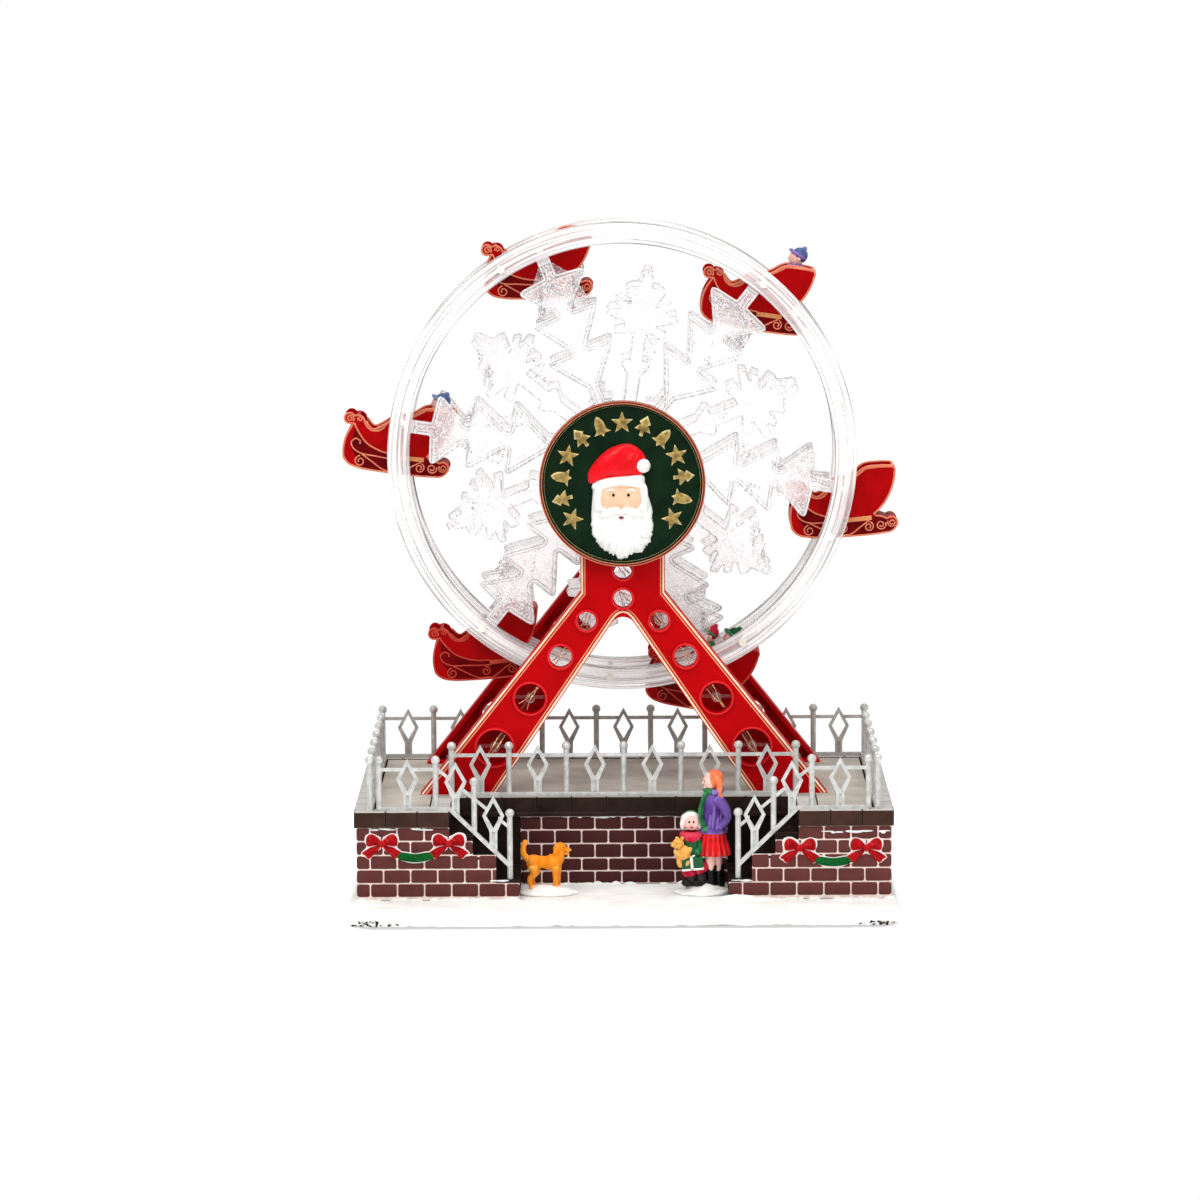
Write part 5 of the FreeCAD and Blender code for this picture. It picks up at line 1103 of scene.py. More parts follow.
def medallion_head():
    def strand(x, z):
        return 0.42 * sin(x * 1.7 + 1.8 * sin(z * 0.3) + z * 0.22) * (
            0.6 + 0.4 * noise.noise(Vector((x * 0.2, z * 0.12, 3.0))))

    def tuft(side, middle, points, apex, base, height, rings, foot, detail=None):
        """Moustache, lock or brow on one side of the face; its points count from the middle outwards."""
        add_dome(beard, rounded_outline([(middle + side * x, z) for x, z in points], 4),
                 (middle + side * apex[0], apex[1]), base, height, rings=rings, foot=foot, detail=detail)

    beard = bmesh.new()
    outline = [(-12.6, 188.0), (-13.0, 183), (-13.5, 177), (-13.7, 171), (-13.2, 165.6), (-11.6, 161.4), (-9.4, 159.0),
               (-7.6, 157.3), (-5.2, 156.9), (-4.0, 156.2), (-2.2, 153.9), (-0.6, 153.3), (0.7, 154.0), (1.6, 153.6),
               (3.9, 155.9), (6.6, 156.1), (8.7, 156.6), (10.0, 159.2), (11.4, 160.4), (12.6, 164.0), (13.6, 167.8),
               (13.0, 171.4), (13.2, 175.2), (12.0, 179.6), (10.6, 184.0), (9.4, 188.4), (4, 190), (-6, 190)]
    ragged = []
    for index, (across, up) in enumerate(rounded_outline(outline, 6)):
        low = max(0.0, min(1.0, (176.0 - up) / 12.0))
        jag = low * (0.75 * noise.noise(Vector((index * 0.55, 0.5, 0.2))) + (0.4 if index % 5 == 0 else 0.0))
        away = Vector((across + 0.2, up - 171.0))
        spot = away * (1 + jag / max(away.length, 1))
        ragged.append((spot.x - 0.2, spot.y + 171.0))
    add_dome(beard, ragged, (-0.2, 171.0), DISC_FACE, 3.0, rings=24, power=0.42, detail=strand, foot=0.2)
    for index in range(15):
        turn = radians(212 + 9.4 * index)
        root = (-0.2 + 8.6 * cos(turn), 168.5 + 7.8 * sin(turn))
        tip = (-0.2 + 12.6 * cos(turn + 0.05), 167.6 + 13.0 * sin(turn + 0.05))
        bend = ((root[0] + tip[0]) / 2 + (0.8 if index % 2 else -0.8), (root[1] + tip[1]) / 2)
        line = smooth_line([(root[0], DISC_FACE - 2.1, root[1]), (bend[0], DISC_FACE - 1.7, bend[1]),
                            (tip[0], DISC_FACE - 0.5, tip[1])], 5)
        add_tube(beard, line, [0.3, 0.7, 0.95, 1.1, 1.15, 1.1, 1.0, 0.85, 0.65, 0.45, 0.2], 10)
    for side in (-1, 1):
        tuft(side, -0.4, [(0, 176.6), (2.4, 177.5), (6.0, 176.4), (9.8, 172.6), (7.0, 171.9), (2.8, 173.2),
                          (0, 174.2)], (4.0, 174.9), DISC_FACE - 2.6, 1.5, 8, 0.6,
             lambda x, z: 0.2 * sin((x + z) * 2.6))
        tuft(side, -0.6, [(8.0, 187.2), (11.2, 186.4), (12.0, 180.0), (11.4, 175.0), (8.2, 175.2), (8.7, 180.0)],
             (9.9, 181.0), DISC_FACE - 2.2, 1.3, 8, 0.8, lambda x, z: 0.2 * sin(x * 3.2 + z * 0.4))
        tuft(side, -0.6, [(1.8, 184.2), (4.0, 185.3), (6.4, 184.8), (6.8, 183.9), (4.2, 184.2)], (4.4, 184.5),
             DISC_FACE - 3.1, 0.6, 5, 0.5)
    piece("head_beard", beard, "beard", replaced=("medallion_head",), crease=60)
    face = bmesh.new()

    def cheeks(x, z):
        lift = 0.0
        for side in (-1, 1):
            away = hypot(x + 0.6 - side * 4.6, z - 178.6)
            lift += 0.5 * exp(-(away / 2.2) ** 2)
            socket = hypot((x + 0.6 - side * 3.4) * 0.8, z - 181.6)
            lift -= 0.45 * exp(-(socket / 1.4) ** 2)
        return lift

    face_outline = [(-9.3, 186.0), (-9.6, 181), (-8.2, 176.6), (-4.2, 175.0), (-0.6, 174.6), (3.2, 175.0),
                    (7.2, 176.6), (8.3, 181), (8.1, 186.2), (-0.6, 187)]
    add_dome(face, rounded_outline(face_outline, 6), (-0.6, 181.2), DISC_FACE - 2.4, 1.3, rings=20, power=0.5,
             detail=cheeks, foot=1.4)
    nose = [(-0.6, 181.6), (-1.3, 180.0), (-2.0, 178.4), (-1.6, 177.4), (-0.6, 177.1), (0.4, 177.4), (0.8, 178.4),
            (0.1, 180.0)]
    add_dome(face, rounded_outline(nose, 4), (-0.6, 178.6), DISC_FACE - 3.3, 1.2, rings=8, power=0.6, foot=0.8)
    piece("head_face", face, "skin", crease=60)
    eyes = bmesh.new()
    for side in (-1, 1):
        add_ball(eyes, (-0.6 + side * 3.3, DISC_FACE - 3.6, 182.3), (0.6, 0.42, 0.7))
    piece("head_eyes", eyes, "gloss_black")
    mouth = bmesh.new()
    add_ball(mouth, (-0.5, DISC_FACE - 3.6, 172.3), (1.1, 0.5, 0.62))
    piece("head_mouth", mouth, "lips")
    hat = bmesh.new()
    hat_outline = [(-13.9, 187.0), (-15.2, 190.0), (-14.6, 192.8), (-11.9, 196.9), (-6.6, 201.9), (-1.3, 204.2),
                   (3.6, 204.5), (7.8, 202.2), (10.4, 198.3), (9.8, 194.4), (8.0, 190.2), (0.8, 189.6), (-6.0, 189.2)]
    add_dome(hat, rounded_outline(hat_outline, 5), (-1.6, 195.6), DISC_FACE, 4.0, rings=16, power=0.5,
             detail=lambda x, z: 0.5 * sin(x * 0.55 - z * 0.42) * exp(-((x - 4) / 7) ** 2), foot=0.2)
    piece("head_hat", hat, "hat", crease=60)
    trim = bmesh.new()

    def fluff(x, z):
        return 0.28 * noise.noise(Vector((x * 1.3, z * 1.3, 7.7)))

    brim = [(-13.2, 184.8), (-12.9, 187.0), (-9.4, 189.2), (-2.6, 190.3), (4.6, 190.9), (9.2, 190.6), (9.9, 188.0),
            (8.8, 185.2), (2.6, 185.9), (-4.4, 185.5), (-10.2, 184.2)]
    add_dome(trim, rounded_outline(brim, 6), (-2.0, 187.6), DISC_FACE - 1.2, 3.4, rings=12, power=0.45, detail=fluff,
             foot=1.2)
    add_ball(trim, (9.3, DISC_FACE - 1.6, 195.0), (3.1, 2.9, 3.1), detail=3,
             ripple=lambda co: 0.06 * noise.noise(co * 3.3))
    piece("head_fur", trim, "beard", crease=60)


medallion_head()

# Bows and garlands

WALL_FACE = -WALL_Y
BOW_PLACES = ((-105.8, 34.3), (-76.6, 34.2), (76.9, 31.6), (105.8, 31.6))
GARLAND_PLACES = ((-91.2, 27.8), (91.35, 25.1))


def bows_and_garlands():
    bows, halo, garlands = bmesh.new(), bmesh.new(), bmesh.new()
    base = WALL_FACE - 0.7
    for across, up in BOW_PLACES:
        for side in (-1, 1):
            def at(points):
                return [(across + side * x, up + z) for x, z in points]
            loop = at([(0.3, 0.2), (1.4, 1.9), (3.6, 3.5), (5.7, 3.4), (6.9, 1.4), (6.4, -1.5), (3.6, -1.4),
                       (1.2, -1.0)])
            add_dome(bows, rounded_outline(loop, 6), *at([(4.2, 0.9)]), base, 1.7, rings=12, foot=0.7,
                     detail=lambda x, z: 0.28 * sin(atan2(z - up, abs(x - across) + 0.5) * 9.0))
            tail = at([(0.3, -0.6), (2.2, -1.4), (5.4, -2.4), (8.7, -4.6), (7.4, -5.6), (5.8, -7.2), (3.0, -4.9),
                       (1.2, -3.0)])
            add_dome(bows, rounded_outline(tail, 6), *at([(4.2, -4.2)]), base, 1.0, rings=8, foot=0.7,
                     detail=lambda x, z: 0.2 * sin((z - up + 0.8 * abs(x - across)) * 3.4))
            rim = at([(0, 2.0), (1.7, 3.3), (4.4, 4.4), (7.2, 3.5), (7.8, 0.6), (6.9, -2.2), (9.6, -5.0), (7.6, -6.9),
                      (5.8, -7.9), (2.8, -5.0), (0, -2.6)])
            add_dome(halo, rounded_outline(rim, 3), *at([(4.0, 0)]), WALL_FACE - 0.3, 0.25, rings=3, foot=0.3)
        add_ball(bows, (across, base - 1.3, up - 0.4), (1.45, 1.0, 1.6),
                 ripple=lambda co: 0.05 * sin(co.x * 9))
    for across, up in GARLAND_PLACES:
        sweep = [(-8.3, 0.5), (-6.2, 2.1), (0, 1.4), (6.2, 2.1), (8.3, 0.5), (6.0, -1.4), (0, -2.3), (-6.0, -1.4)]
        placed = [(across + x, up + z) for x, z in sweep]
        add_dome(garlands, rounded_outline(placed, 6), (across, up), base, 1.4, rings=10, foot=0.7,
                 detail=lambda x, z: 0.22 * sin(x * 3.2 + z * 1.5) + 0.1 * sin(z * 5 - x * 2))
        border = [(across + x * 1.1, up + z * 1.4) for x, z in sweep]
        add_dome(halo, rounded_outline(border, 4), (across, up), WALL_FACE - 0.25, 0.3, rings=3, foot=0.2)
    piece("bow_ribbons", bows, "bow", replaced=("bows",), crease=50)
    piece("bow_halo", halo, "white", crease=60)
    piece("garland_sprigs", garlands, "garland", replaced=("garlands",), crease=60)


bows_and_garlands()

# Woman, child and dog

GROUND = 8.4
WOMAN_SPOT, CHILD_SPOT, DOG_SPOT = (39.0, -60.0, 0), (29.5, -61.4, 0), (-34.8, -60.0, GROUND)


def figure_part(spot):
    """A maker of the painted parts of one figure, which are shaped round its own spot."""
    def make(name, shape, look, crease=60, replaced=()):
        bmesh.ops.translate(shape, vec=spot, verts=shape.verts)
        piece(name, shape, look, crease=crease, replaced=replaced)
    return make


def mound(name, centre, half):
    shape = bmesh.new()

    def steep(co):
        flat = hypot(co.x, co.y)
        lump = 0.12 * noise.noise(co * 2.6 + Vector((centre[0], 0, 0)))
        return lump + 0.16 * sin(pi * min(1.0, flat * abs(co.z) * 2))

    add_ball(shape, (*centre, GROUND - 0.4), half, detail=4, ripple=steep)
    piece(name, shape, "snow", crease=60)


def woman():
    part = figure_part(WOMAN_SPOT)
    skin = bmesh.new()
    add_ball(skin, (-0.9, -0.3, 58.3), (3.15, 3.0, 4.0), detail=3)
    add_ball(skin, (-3.9, -0.4, 57.6), (0.8, 0.55, 0.75))
    add_ball(skin, (-3.2, -0.4, 55.6), (1.0, 1.1, 0.9))
    add_loft(skin, [(-0.4, 0, 52.0, 1.7, 1.7), (-0.5, 0, 55.5, 1.6, 1.6)], 16)
    for offset in (-1.6, 1.6):
        add_loft(skin, [(0.6 + offset * 0.9, -0.6 + offset * 0.6, 18.4, 1.9, 2.0),
                        (0.4 + offset * 0.9, -0.8 + offset * 0.6, 22, 2.3, 2.5),
                        (0.2 + offset * 0.8, -0.8 + offset * 0.6, 27, 2.7, 2.9)], 18)
    part("woman_skin", skin, "pale_skin", replaced=("woman_and_child",))
    eyes = bmesh.new()
    add_ball(eyes, (-3.45, -1.9, 58.5), (0.32, 0.3, 0.34))
    add_ball(eyes, (-3.45, 1.2, 58.5), (0.32, 0.3, 0.34))
    part("woman_eyes", eyes, "gloss_black", crease=40)
    hair = bmesh.new()
    strands = lambda co: 0.045 * sin(atan2(co.y, co.x) * 9 + co.z * 2.5) + 0.02 * noise.noise(co * 4)
    add_ball(hair, (0.9, 0.1, 59.0), (3.9, 3.9, 4.3), detail=3, ripple=strands)
    for step in range(9):
        swing = (step - 4) / 4
        route = [(1.6, swing * 3.0, 60.6), (3.0, swing * 3.3, 57.0),
                 (2.7 + 0.3 * cos(step * 2.0), swing * 3.2, 53.4),
                 (3.6 + 0.3 * sin(step * 1.7), swing * 3.4, 49.8 + 0.7 * abs(swing))]
        add_tube(hair, smooth_line(route, 5), [1.5] * 5 + [1.35] * 5 + [1.05] * 5 + [0.45], 10)
    part("woman_hair", hair, "hair")
    coat = bmesh.new()
    add_loft(coat, [(0.1, 0, 35.3, 6.0, 5.2, 0.04), (0.1, 0, 35.9, 6.2, 5.4, 0.045),
                    (0.1, 0, 38, 5.5, 4.8, 0.03), (0.3, 0, 42, 4.9, 4.4, 0.01),
                    (0.4, 0, 47, 4.9, 4.7), (0.4, 0, 51, 4.2, 4.6), (0.2, 0, 53, 3.0, 3.4),
                    (0, 0, 54.2, 1.9, 2.0)], 36, waves=7)
    ruff = [(0.9 + 3.0 * cos(radians(a)), 3.4 * sin(radians(a)),
             53.6 + 0.8 * cos(radians(a))) for a in range(-105, 106, 15)]
    add_tube(coat, ruff, 1.35, 10)
    for fold, (low, high) in enumerate(((36.5, 45.0), (37.0, 50.5), (36.2, 43.0), (37.4, 48.0))):
        turn = radians(-118 + 22 * fold)
        crease = [(0.2 + 4.7 * cos(turn), 4.3 * sin(turn), low),
                  (0.5 + 4.3 * cos(turn + 0.1), 4.2 * sin(turn + 0.1), (low + high) / 2),
                  (0.4 + 4.2 * cos(turn + 0.2), 4.0 * sin(turn + 0.2), high)]
        add_tube(coat, smooth_line(crease, 5), [0.3, 0.6, 0.75, 0.8, 0.85, 0.85, 0.8, 0.75, 0.65, 0.5, 0.3], 8)
    for side in (-1, 1):
        arm = [(1.4, side * 4.0, 51.2), (4.4, side * 5.0, 47.6), (6.4, side * 5.2, 43.4),
               (5.0, side * 4.9, 40.4), (2.8, side * 4.2, 38.4)]
        radii = [1.9, 1.95, 2.0, 2.0, 2.0, 1.95, 1.95, 1.9, 1.85, 1.8, 1.8, 1.75, 1.7, 1.7, 1.65, 1.6, 1.5]
        add_tube(coat, smooth_line(arm, 4), radii, 14)
    part("woman_coat", coat, "purple")
    # The scarf is shaped at its place in the frame: some folds lie just at the crease angle.
    x0, y0 = WOMAN_SPOT[:2]
    scarf = bmesh.new()
    collar = circle(24, lambda turn: (x0 - 0.3 + 3.0 * cos(turn), y0 + 3.0 * sin(turn),
                                      53.9 - 0.5 * cos(turn + 0.3)))
    add_tube(scarf, collar, 1.1, 10, closed=True)
    fall = smooth_line([(x0 - 2.6, y0 - 2.2, 53.2), (x0 - 4.6, y0 - 3.1, 49), (x0 - 5.2, y0 - 3.5, 44.4),
                        (x0 - 4.6, y0 - 3.9, 40.6), (x0 - 3.4, y0 - 4.4, 38.2)], 5)
    add_tube(scarf, fall, [1.2 + 0.25 * sin(i * 0.9) for i in range(len(fall))], 10, 0.55, (0.4, -1, 0))
    fringe = fall[-1]
    for step in range(6):
        shift = (step - 2.5) * 0.36
        add_tube(scarf, [fringe + Vector((shift, 0, 0.3)), fringe + Vector((shift * 1.5 + 0.2, -0.2, -1.5))], 0.2, 6)
    piece("woman_scarf", scarf, "scarf", crease=60)
    skirt = bmesh.new()
    add_loft(skirt, [(0.1, 0, 25.4, 7.2, 6.1, 0.07), (0.1, 0, 25.8, 7.6, 6.4, 0.075),
                     (0.1, 0, 28.4, 7.0, 6.0, 0.065), (0.1, 0, 32, 6.1, 5.2, 0.04),
                     (0.1, 0, 36, 5.2, 4.6, 0.01)], 96, waves=16)
    part("woman_skirt", skirt, "skirt")
    boots = bmesh.new()
    for offset in (-1.7, 1.7):
        bx, by = 0.9 + offset, offset * 0.7
        add_loft(boots, [(bx, by, 11.0, 2.7, 2.4), (bx, by, 12.4, 2.8, 2.5), (bx, by, 14.5, 2.5, 2.3),
                         (bx - 0.1, by, 18.0, 2.7, 2.4), (bx - 0.2, by, 20.6, 2.9, 2.6),
                         (bx - 0.2, by, 21.2, 2.8, 2.5)], 24)
        add_ball(boots, (bx - 1.8, by - 0.4, 13.0), (3.2, 2.1, 1.8))
    part("woman_boots", boots, "gloss_black")


def child():
    part = figure_part(CHILD_SPOT)
    skin = bmesh.new()
    add_ball(skin, (0.2, -0.8, 40.2), (3.4, 3.3, 3.5), detail=3,
             ripple=lambda co: 0.05 * exp(-((co.z + 0.3) / 0.3) ** 2) * abs(co.x))
    add_ball(skin, (0.1, -4.1, 39.7), (0.55, 0.5, 0.5))
    add_ball(skin, (-3.6, -4.4, 27.6), (1.0, 0.9, 1.0))
    part("child_skin", skin, "pale_skin")
    eyes = bmesh.new()
    for side in (-1, 1):
        add_ball(eyes, (0.1 + side * 0.95, -4.1, 40.9), (0.44, 0.34, 0.56))
    part("child_eyes", eyes, "gloss_black", crease=40)
    mouth = bmesh.new()
    add_ball(mouth, (0.2, -4.0, 38.4), (0.66, 0.34, 0.36))
    part("child_mouth", mouth, "lips", crease=40)
    hat = bmesh.new()
    add_ball(hat, (-0.1, 0.9, 40.9), (4.5, 3.7, 4.2), detail=3, ripple=lambda co: 0.03 * noise.noise(co * 5))
    for side in (-1, 1):
        add_ball(hat, (side * 3.7, -0.2, 39.4), (1.2, 1.6, 2.4),
                 ripple=lambda co: 0.06 * noise.noise(co * 4))
    part("child_hat", hat, "white")
    band = bmesh.new()
    arch = [(-0.1 + 3.9 * cos(radians(a)), 0.2, 41.1 + 3.95 * sin(radians(a)))
            for a in range(40, 150, 8)]
    add_tube(band, arch, 0.42, 8)
    collar = circle(24, lambda turn: (3.5 * cos(turn), -0.2 + 3.3 * sin(turn), 34.6))
    part("child_hat_band", band, "scarf")
    scarf = bmesh.new()
    add_tube(scarf, collar, 1.7, 12, closed=True)
    add_ball(scarf, (0.2, -3.9, 33.6), (3.2, 1.3, 1.8),
             ripple=lambda co: 0.07 * sin(co.x * 7))
    part("child_scarf", scarf, "pink")
    coat = bmesh.new()
    add_loft(coat, [(0.4, 0, 20.4, 4.6, 4.4), (0.4, 0, 24, 4.5, 4.2), (0.2, 0, 29, 4.1, 3.9),
                    (0, 0, 33.5, 3.0, 2.9)], 28)
    for side in (-1, 1):
        arm = [(side * 3.0, -0.6, 32.0), (side * 3.5, -2.4, 29.0), (side * 2.2, -4.4, 27.2)]
        add_tube(coat, smooth_line(arm, 5), 1.6, 12)
    part("child_coat", coat, "scarf")
    teddy = bmesh.new()
    bx, by = -3.6, -4.6
    add_ball(teddy, (bx, by, 26.6), (3.3, 2.3, 4.1), tilted(14), 3,
             lambda co: 0.03 * noise.noise(co * 6))
    add_ball(teddy, (bx - 2.2, by - 0.2, 31.4), (2.6, 2.2, 2.4), detail=3, ripple=lambda co: 0.03 * noise.noise(co * 6))
    add_ball(teddy, (bx - 4.2, by - 0.7, 31.0), (1.3, 1.1, 1.0))
    for shift in (-1.0, 1.2):
        add_ball(teddy, (bx - 1.6 + shift, by + 0.2, 33.7), (0.85, 0.6, 0.85))
    for dx, dz, lean in ((2.4, 1.8, 40), (-2.7, 0.6, -40), (2.0, -3.6, 30), (-1.6, -3.8, -20)):
        add_ball(teddy, (bx + dx, by - 1.2, 26.6 + dz), (1.15, 1.1, 2.0), tilted(lean))
    part("toy_teddy", teddy, "teddy")
    dots = bmesh.new()
    add_ball(dots, (bx - 2.7, by - 2.3, 31.9), (0.28, 0.22, 0.28))
    add_ball(dots, (bx - 5.3, by - 1.1, 31.2), (0.34, 0.34, 0.28))
    part("teddy_eyes", dots, "gloss_black", crease=40)
    gift = bmesh.new()
    lean = Matrix.Translation((0.3, 0, 22.6)) @ tilted(-5)
    add_block(gift, (-4.4, -6.6, -2.7), (4.8, -2.2, 2.7), 0.4)
    bmesh.ops.transform(gift, matrix=lean, verts=gift.verts)
    part("gift_box", gift, "gift", crease=40)
    ribbon = bmesh.new()
    add_block(ribbon, (-0.7, -6.8, -2.9), (0.5, -2.0, 2.9), 0.2)
    add_block(ribbon, (-4.6, -6.8, -2.9), (5.0, -2.0, -2.0), 0.2)
    for side in (-1, 1):
        add_ball(ribbon, (-0.1 + side * 0.9, -5.0, 3.2), (0.95, 0.5, 0.5),
                 tilted(side * -20))
    bmesh.ops.transform(ribbon, matrix=lean, verts=ribbon.verts)
    part("gift_ribbon", ribbon, "white", crease=40)
    trousers = bmesh.new()
    add_ball(trousers, (-0.8, -2.0, 18.4), (3.2, 3.0, 2.5), detail=3,
             ripple=lambda co: 0.05 * sin(co.x * 5 + co.z * 3))
    for shift in (-1.2, 1.6):
        leg = [(0.4 + shift, -1.6, 18.6), (3.4 + shift, -1.0, 20.0), (6.4 + shift, 0, 22.0)]
        add_tube(trousers, smooth_line(leg, 5), [2.5, 2.5, 2.5, 2.4, 2.4, 2.3, 2.3, 2.2, 2.2, 2.1, 2.1], 14)
    part("child_trousers", trousers, "pink")
    boots = bmesh.new()
    for shift in (-0.6, 3.8):
        bx = shift
        add_ball(boots, (bx - 1.2, -2.6, 13.6), (2.6, 2.3, 1.8))
        add_loft(boots, [(bx + 0.2, -1.8, 12.2, 2.2, 2.1), (bx + 0.6, -1.8, 17.2, 2.3, 2.2)], 18)
    part("child_boots", boots, "gloss_black")


woman()
child()
mound("figure_mound", (34.6, -60.8), (10.8, 8.0, 4.6))


def dog():
    part = figure_part(DOG_SPOT)
    shape = bmesh.new()

    def fur(co):
        return 0.05 * noise.noise(co * 4)

    body = smooth_line([(-7.2, 0, 14.2), (-4.6, 0, 14.3), (-1.0, 0, 14.0),
                        (2.4, 0, 13.9), (5.0, 0, 15.2), (6.2, 0, 17.6),
                        (6.6, 0, 19.8)], 5)
    girth = [2.2, 2.6, 2.9, 3.0, 3.05, 3.0, 2.9, 2.8, 2.7, 2.65, 2.65, 2.75, 2.9, 3.1, 3.3, 3.5, 3.6, 3.6, 3.55,
             3.5, 3.35, 3.15, 3.0, 2.85, 2.7, 2.6, 2.5, 2.45, 2.4, 2.35, 2.3]
    add_tube(shape, body, girth[:len(body)], 20)
    add_ball(shape, (-5.2, 0, 13.6), (3.0, 3.0, 3.2), detail=3, ripple=fur)
    add_ball(shape, (4.4, 0, 14.0), (2.9, 2.9, 3.8), detail=3, ripple=fur)
    add_ball(shape, (6.6, 0, 20.0), (3.0, 2.5, 2.8), detail=3, ripple=fur)
    add_ball(shape, (9.2, 0, 19.6), (2.5, 1.3, 1.15), tilted(6))
    add_ball(shape, (8.8, 0, 18.1), (2.1, 1.1, 0.75), tilted(20))
    for side in (-1, 1):
        add_ball(shape, (5.1, side * 2.4, 20.0), (1.25, 0.6, 2.3),
                 tilted(22))
    tail = smooth_line([(-7.2, 0, 15.0), (-9.2, 0, 17.4), (-9.5, 0, 20.4),
                        (-8.7, 0, 22.9)], 5)
    add_tube(shape, tail, [1.55 - 0.03 * i for i in range(len(tail))], 12)
    add_ball(shape, tail[-1], 1.15)
    for across, offset, fore in ((-5.8, -1.6, 0), (-4.8, 1.6, 0), (4.6, -1.6, 1), (5.5, 1.6, 1)):
        if fore:
            route = [(across, offset, 13.0), (across + 0.1, offset, 8),
                     (across + 0.1, offset, 2.6)]
            girth = [1.0, 1.65, 1.75, 1.6, 1.45, 1.3, 1.25, 1.2, 1.15, 1.15, 1.1]
        else:
            route = [(across + 0.4, offset, 13.2), (across + 0.8, offset, 9.4),
                     (across - 0.9, offset, 6.4), (across + 0.1, offset, 2.6)]
            girth = [1.2, 2.1, 2.35, 2.2, 1.95, 1.75, 1.55, 1.4, 1.3, 1.25, 1.2, 1.15, 1.1, 1.1, 1.1, 1.1]
        line = smooth_line(route, 5)
        add_tube(shape, line, girth[:len(line)], 14)
    part("dog_coat", shape, "dog", replaced=("dog",))
    paws = bmesh.new()
    for across, offset in ((-5.8, -1.6), (-4.8, 1.6), (4.6, -1.6), (5.5, 1.6)):
        add_ball(paws, (across + 0.6, offset - 0.1, 3.0), (1.6, 1.15, 1.1))
    part("dog_paws", paws, "paw")
    dots = bmesh.new()
    add_ball(dots, (11.4, 0, 20.0), (0.5, 0.55, 0.45))
    for side in (-1, 1):
        add_ball(dots, (8.2, side * 1.8, 20.8), (0.36, 0.3, 0.38))
    part("dog_eyes_and_nose", dots, "gloss_black", crease=40)


dog()
mound("dog_mound", (-33.6, -60.0), (11.6, 8.0, 4.0))

# Sleighs

SLEIGH_ANGLES = [-8.4, 51.6, 111.6, 171.6, 231.6, 291.6]
SLEIGH_TILTS = [5.5, -7.5, 3.0, -5.5, 6.5, -7.0]
PIVOT_CIRCLE = 100.0
SLEIGH_HALF = 9.0


def arc_points(begin, middle, end, steps=8):
    """Points on the circle through three points."""
    a, b, c = Vector(begin), Vector(middle), Vector(end)
    d = 2 * (a.x * (b.y - c.y) + b.x * (c.y - a.y) + c.x * (a.y - b.y))
    ux = (a.length_squared * (b.y - c.y) + b.length_squared * (c.y - a.y) + c.length_squared * (a.y - b.y)) / d
    uy = (a.length_squared * (c.x - b.x) + b.length_squared * (a.x - c.x) + c.length_squared * (b.x - a.x)) / d
    centre = Vector((ux, uy))
    reach = (a - centre).length
    angles = [atan2(p.y - uy, p.x - ux) for p in (a, b, c)]
    turn = (angles[2] - angles[0]) % (2 * pi)
    if (angles[1] - angles[0]) % (2 * pi) > turn:
        turn -= 2 * pi
    return [(ux + reach * cos(angles[0] + turn * i / steps), uy + reach * sin(angles[0] + turn * i / steps))
            for i in range(steps)]


SIDE_ARCS = [((-21.6, -2.0), (-25.8, 0.6), (-20.9, 2.0)), ((-20.9, 2.0), (-18.2, 2.2), (-15.9, -0.6)),
             ((-15.9, -0.6), (-12.3, -3.9), (-7.2, -1.2)), ((-7.2, -1.2), (-2.4, 2.3), (2.6, 2.4)),
             ((2.6, 2.4), (5.6, 4.0), (10.6, 7.2)), ((10.6, 7.2), (17.0, 7.5), (23.4, 6.9)),
             ((23.4, 6.9), (24.2, 5.9), (24.1, 4.0)), ((24.1, 4.0), (20.6, -6.0), (13.0, -14.2)),
             ((13.0, -14.2), (16.4, -15.0), (18.4, -16.0)), ((18.4, -16.0), (22.6, -16.6), (22.4, -20.6)),
             ((22.4, -20.6), (20.4, -22.4), (17.5, -23.0))]
KEEL = [(17.5, -23.0), (10, -23.3), (0, -23.1), (-10, -22.6), (-18.6, -21.6), (-22.6, -20.0), (-24.9, -17.2)]


def side_outline():
    outline = []
    for arc in SIDE_ARCS:
        outline += arc_points(*arc)
    outline += flat_line(KEEL, 4)[:-1]
    outline += arc_points((-24.9, -17.2), (-25.2, -12.0), (-21.6, -2.0), 10)
    return outline


def shrink(outline, amount):
    """Moves a closed outline inwards."""
    made = []
    count = len(outline)
    area = sum(a[0] * b[1] - b[0] * a[1] for a, b in zip(outline, outline[1:] + outline[:1]))
    way = 1 if area > 0 else -1
    for index, point in enumerate(outline):
        before, after = outline[index - 1], outline[(index + 1) % count]
        ahead = Vector((after[0] - before[0], after[1] - before[1]))
        if ahead.length < 1e-6:
            continue
        ahead.normalize()
        made.append((point[0] - ahead.y * amount * way, point[1] + ahead.x * amount * way))
    return made


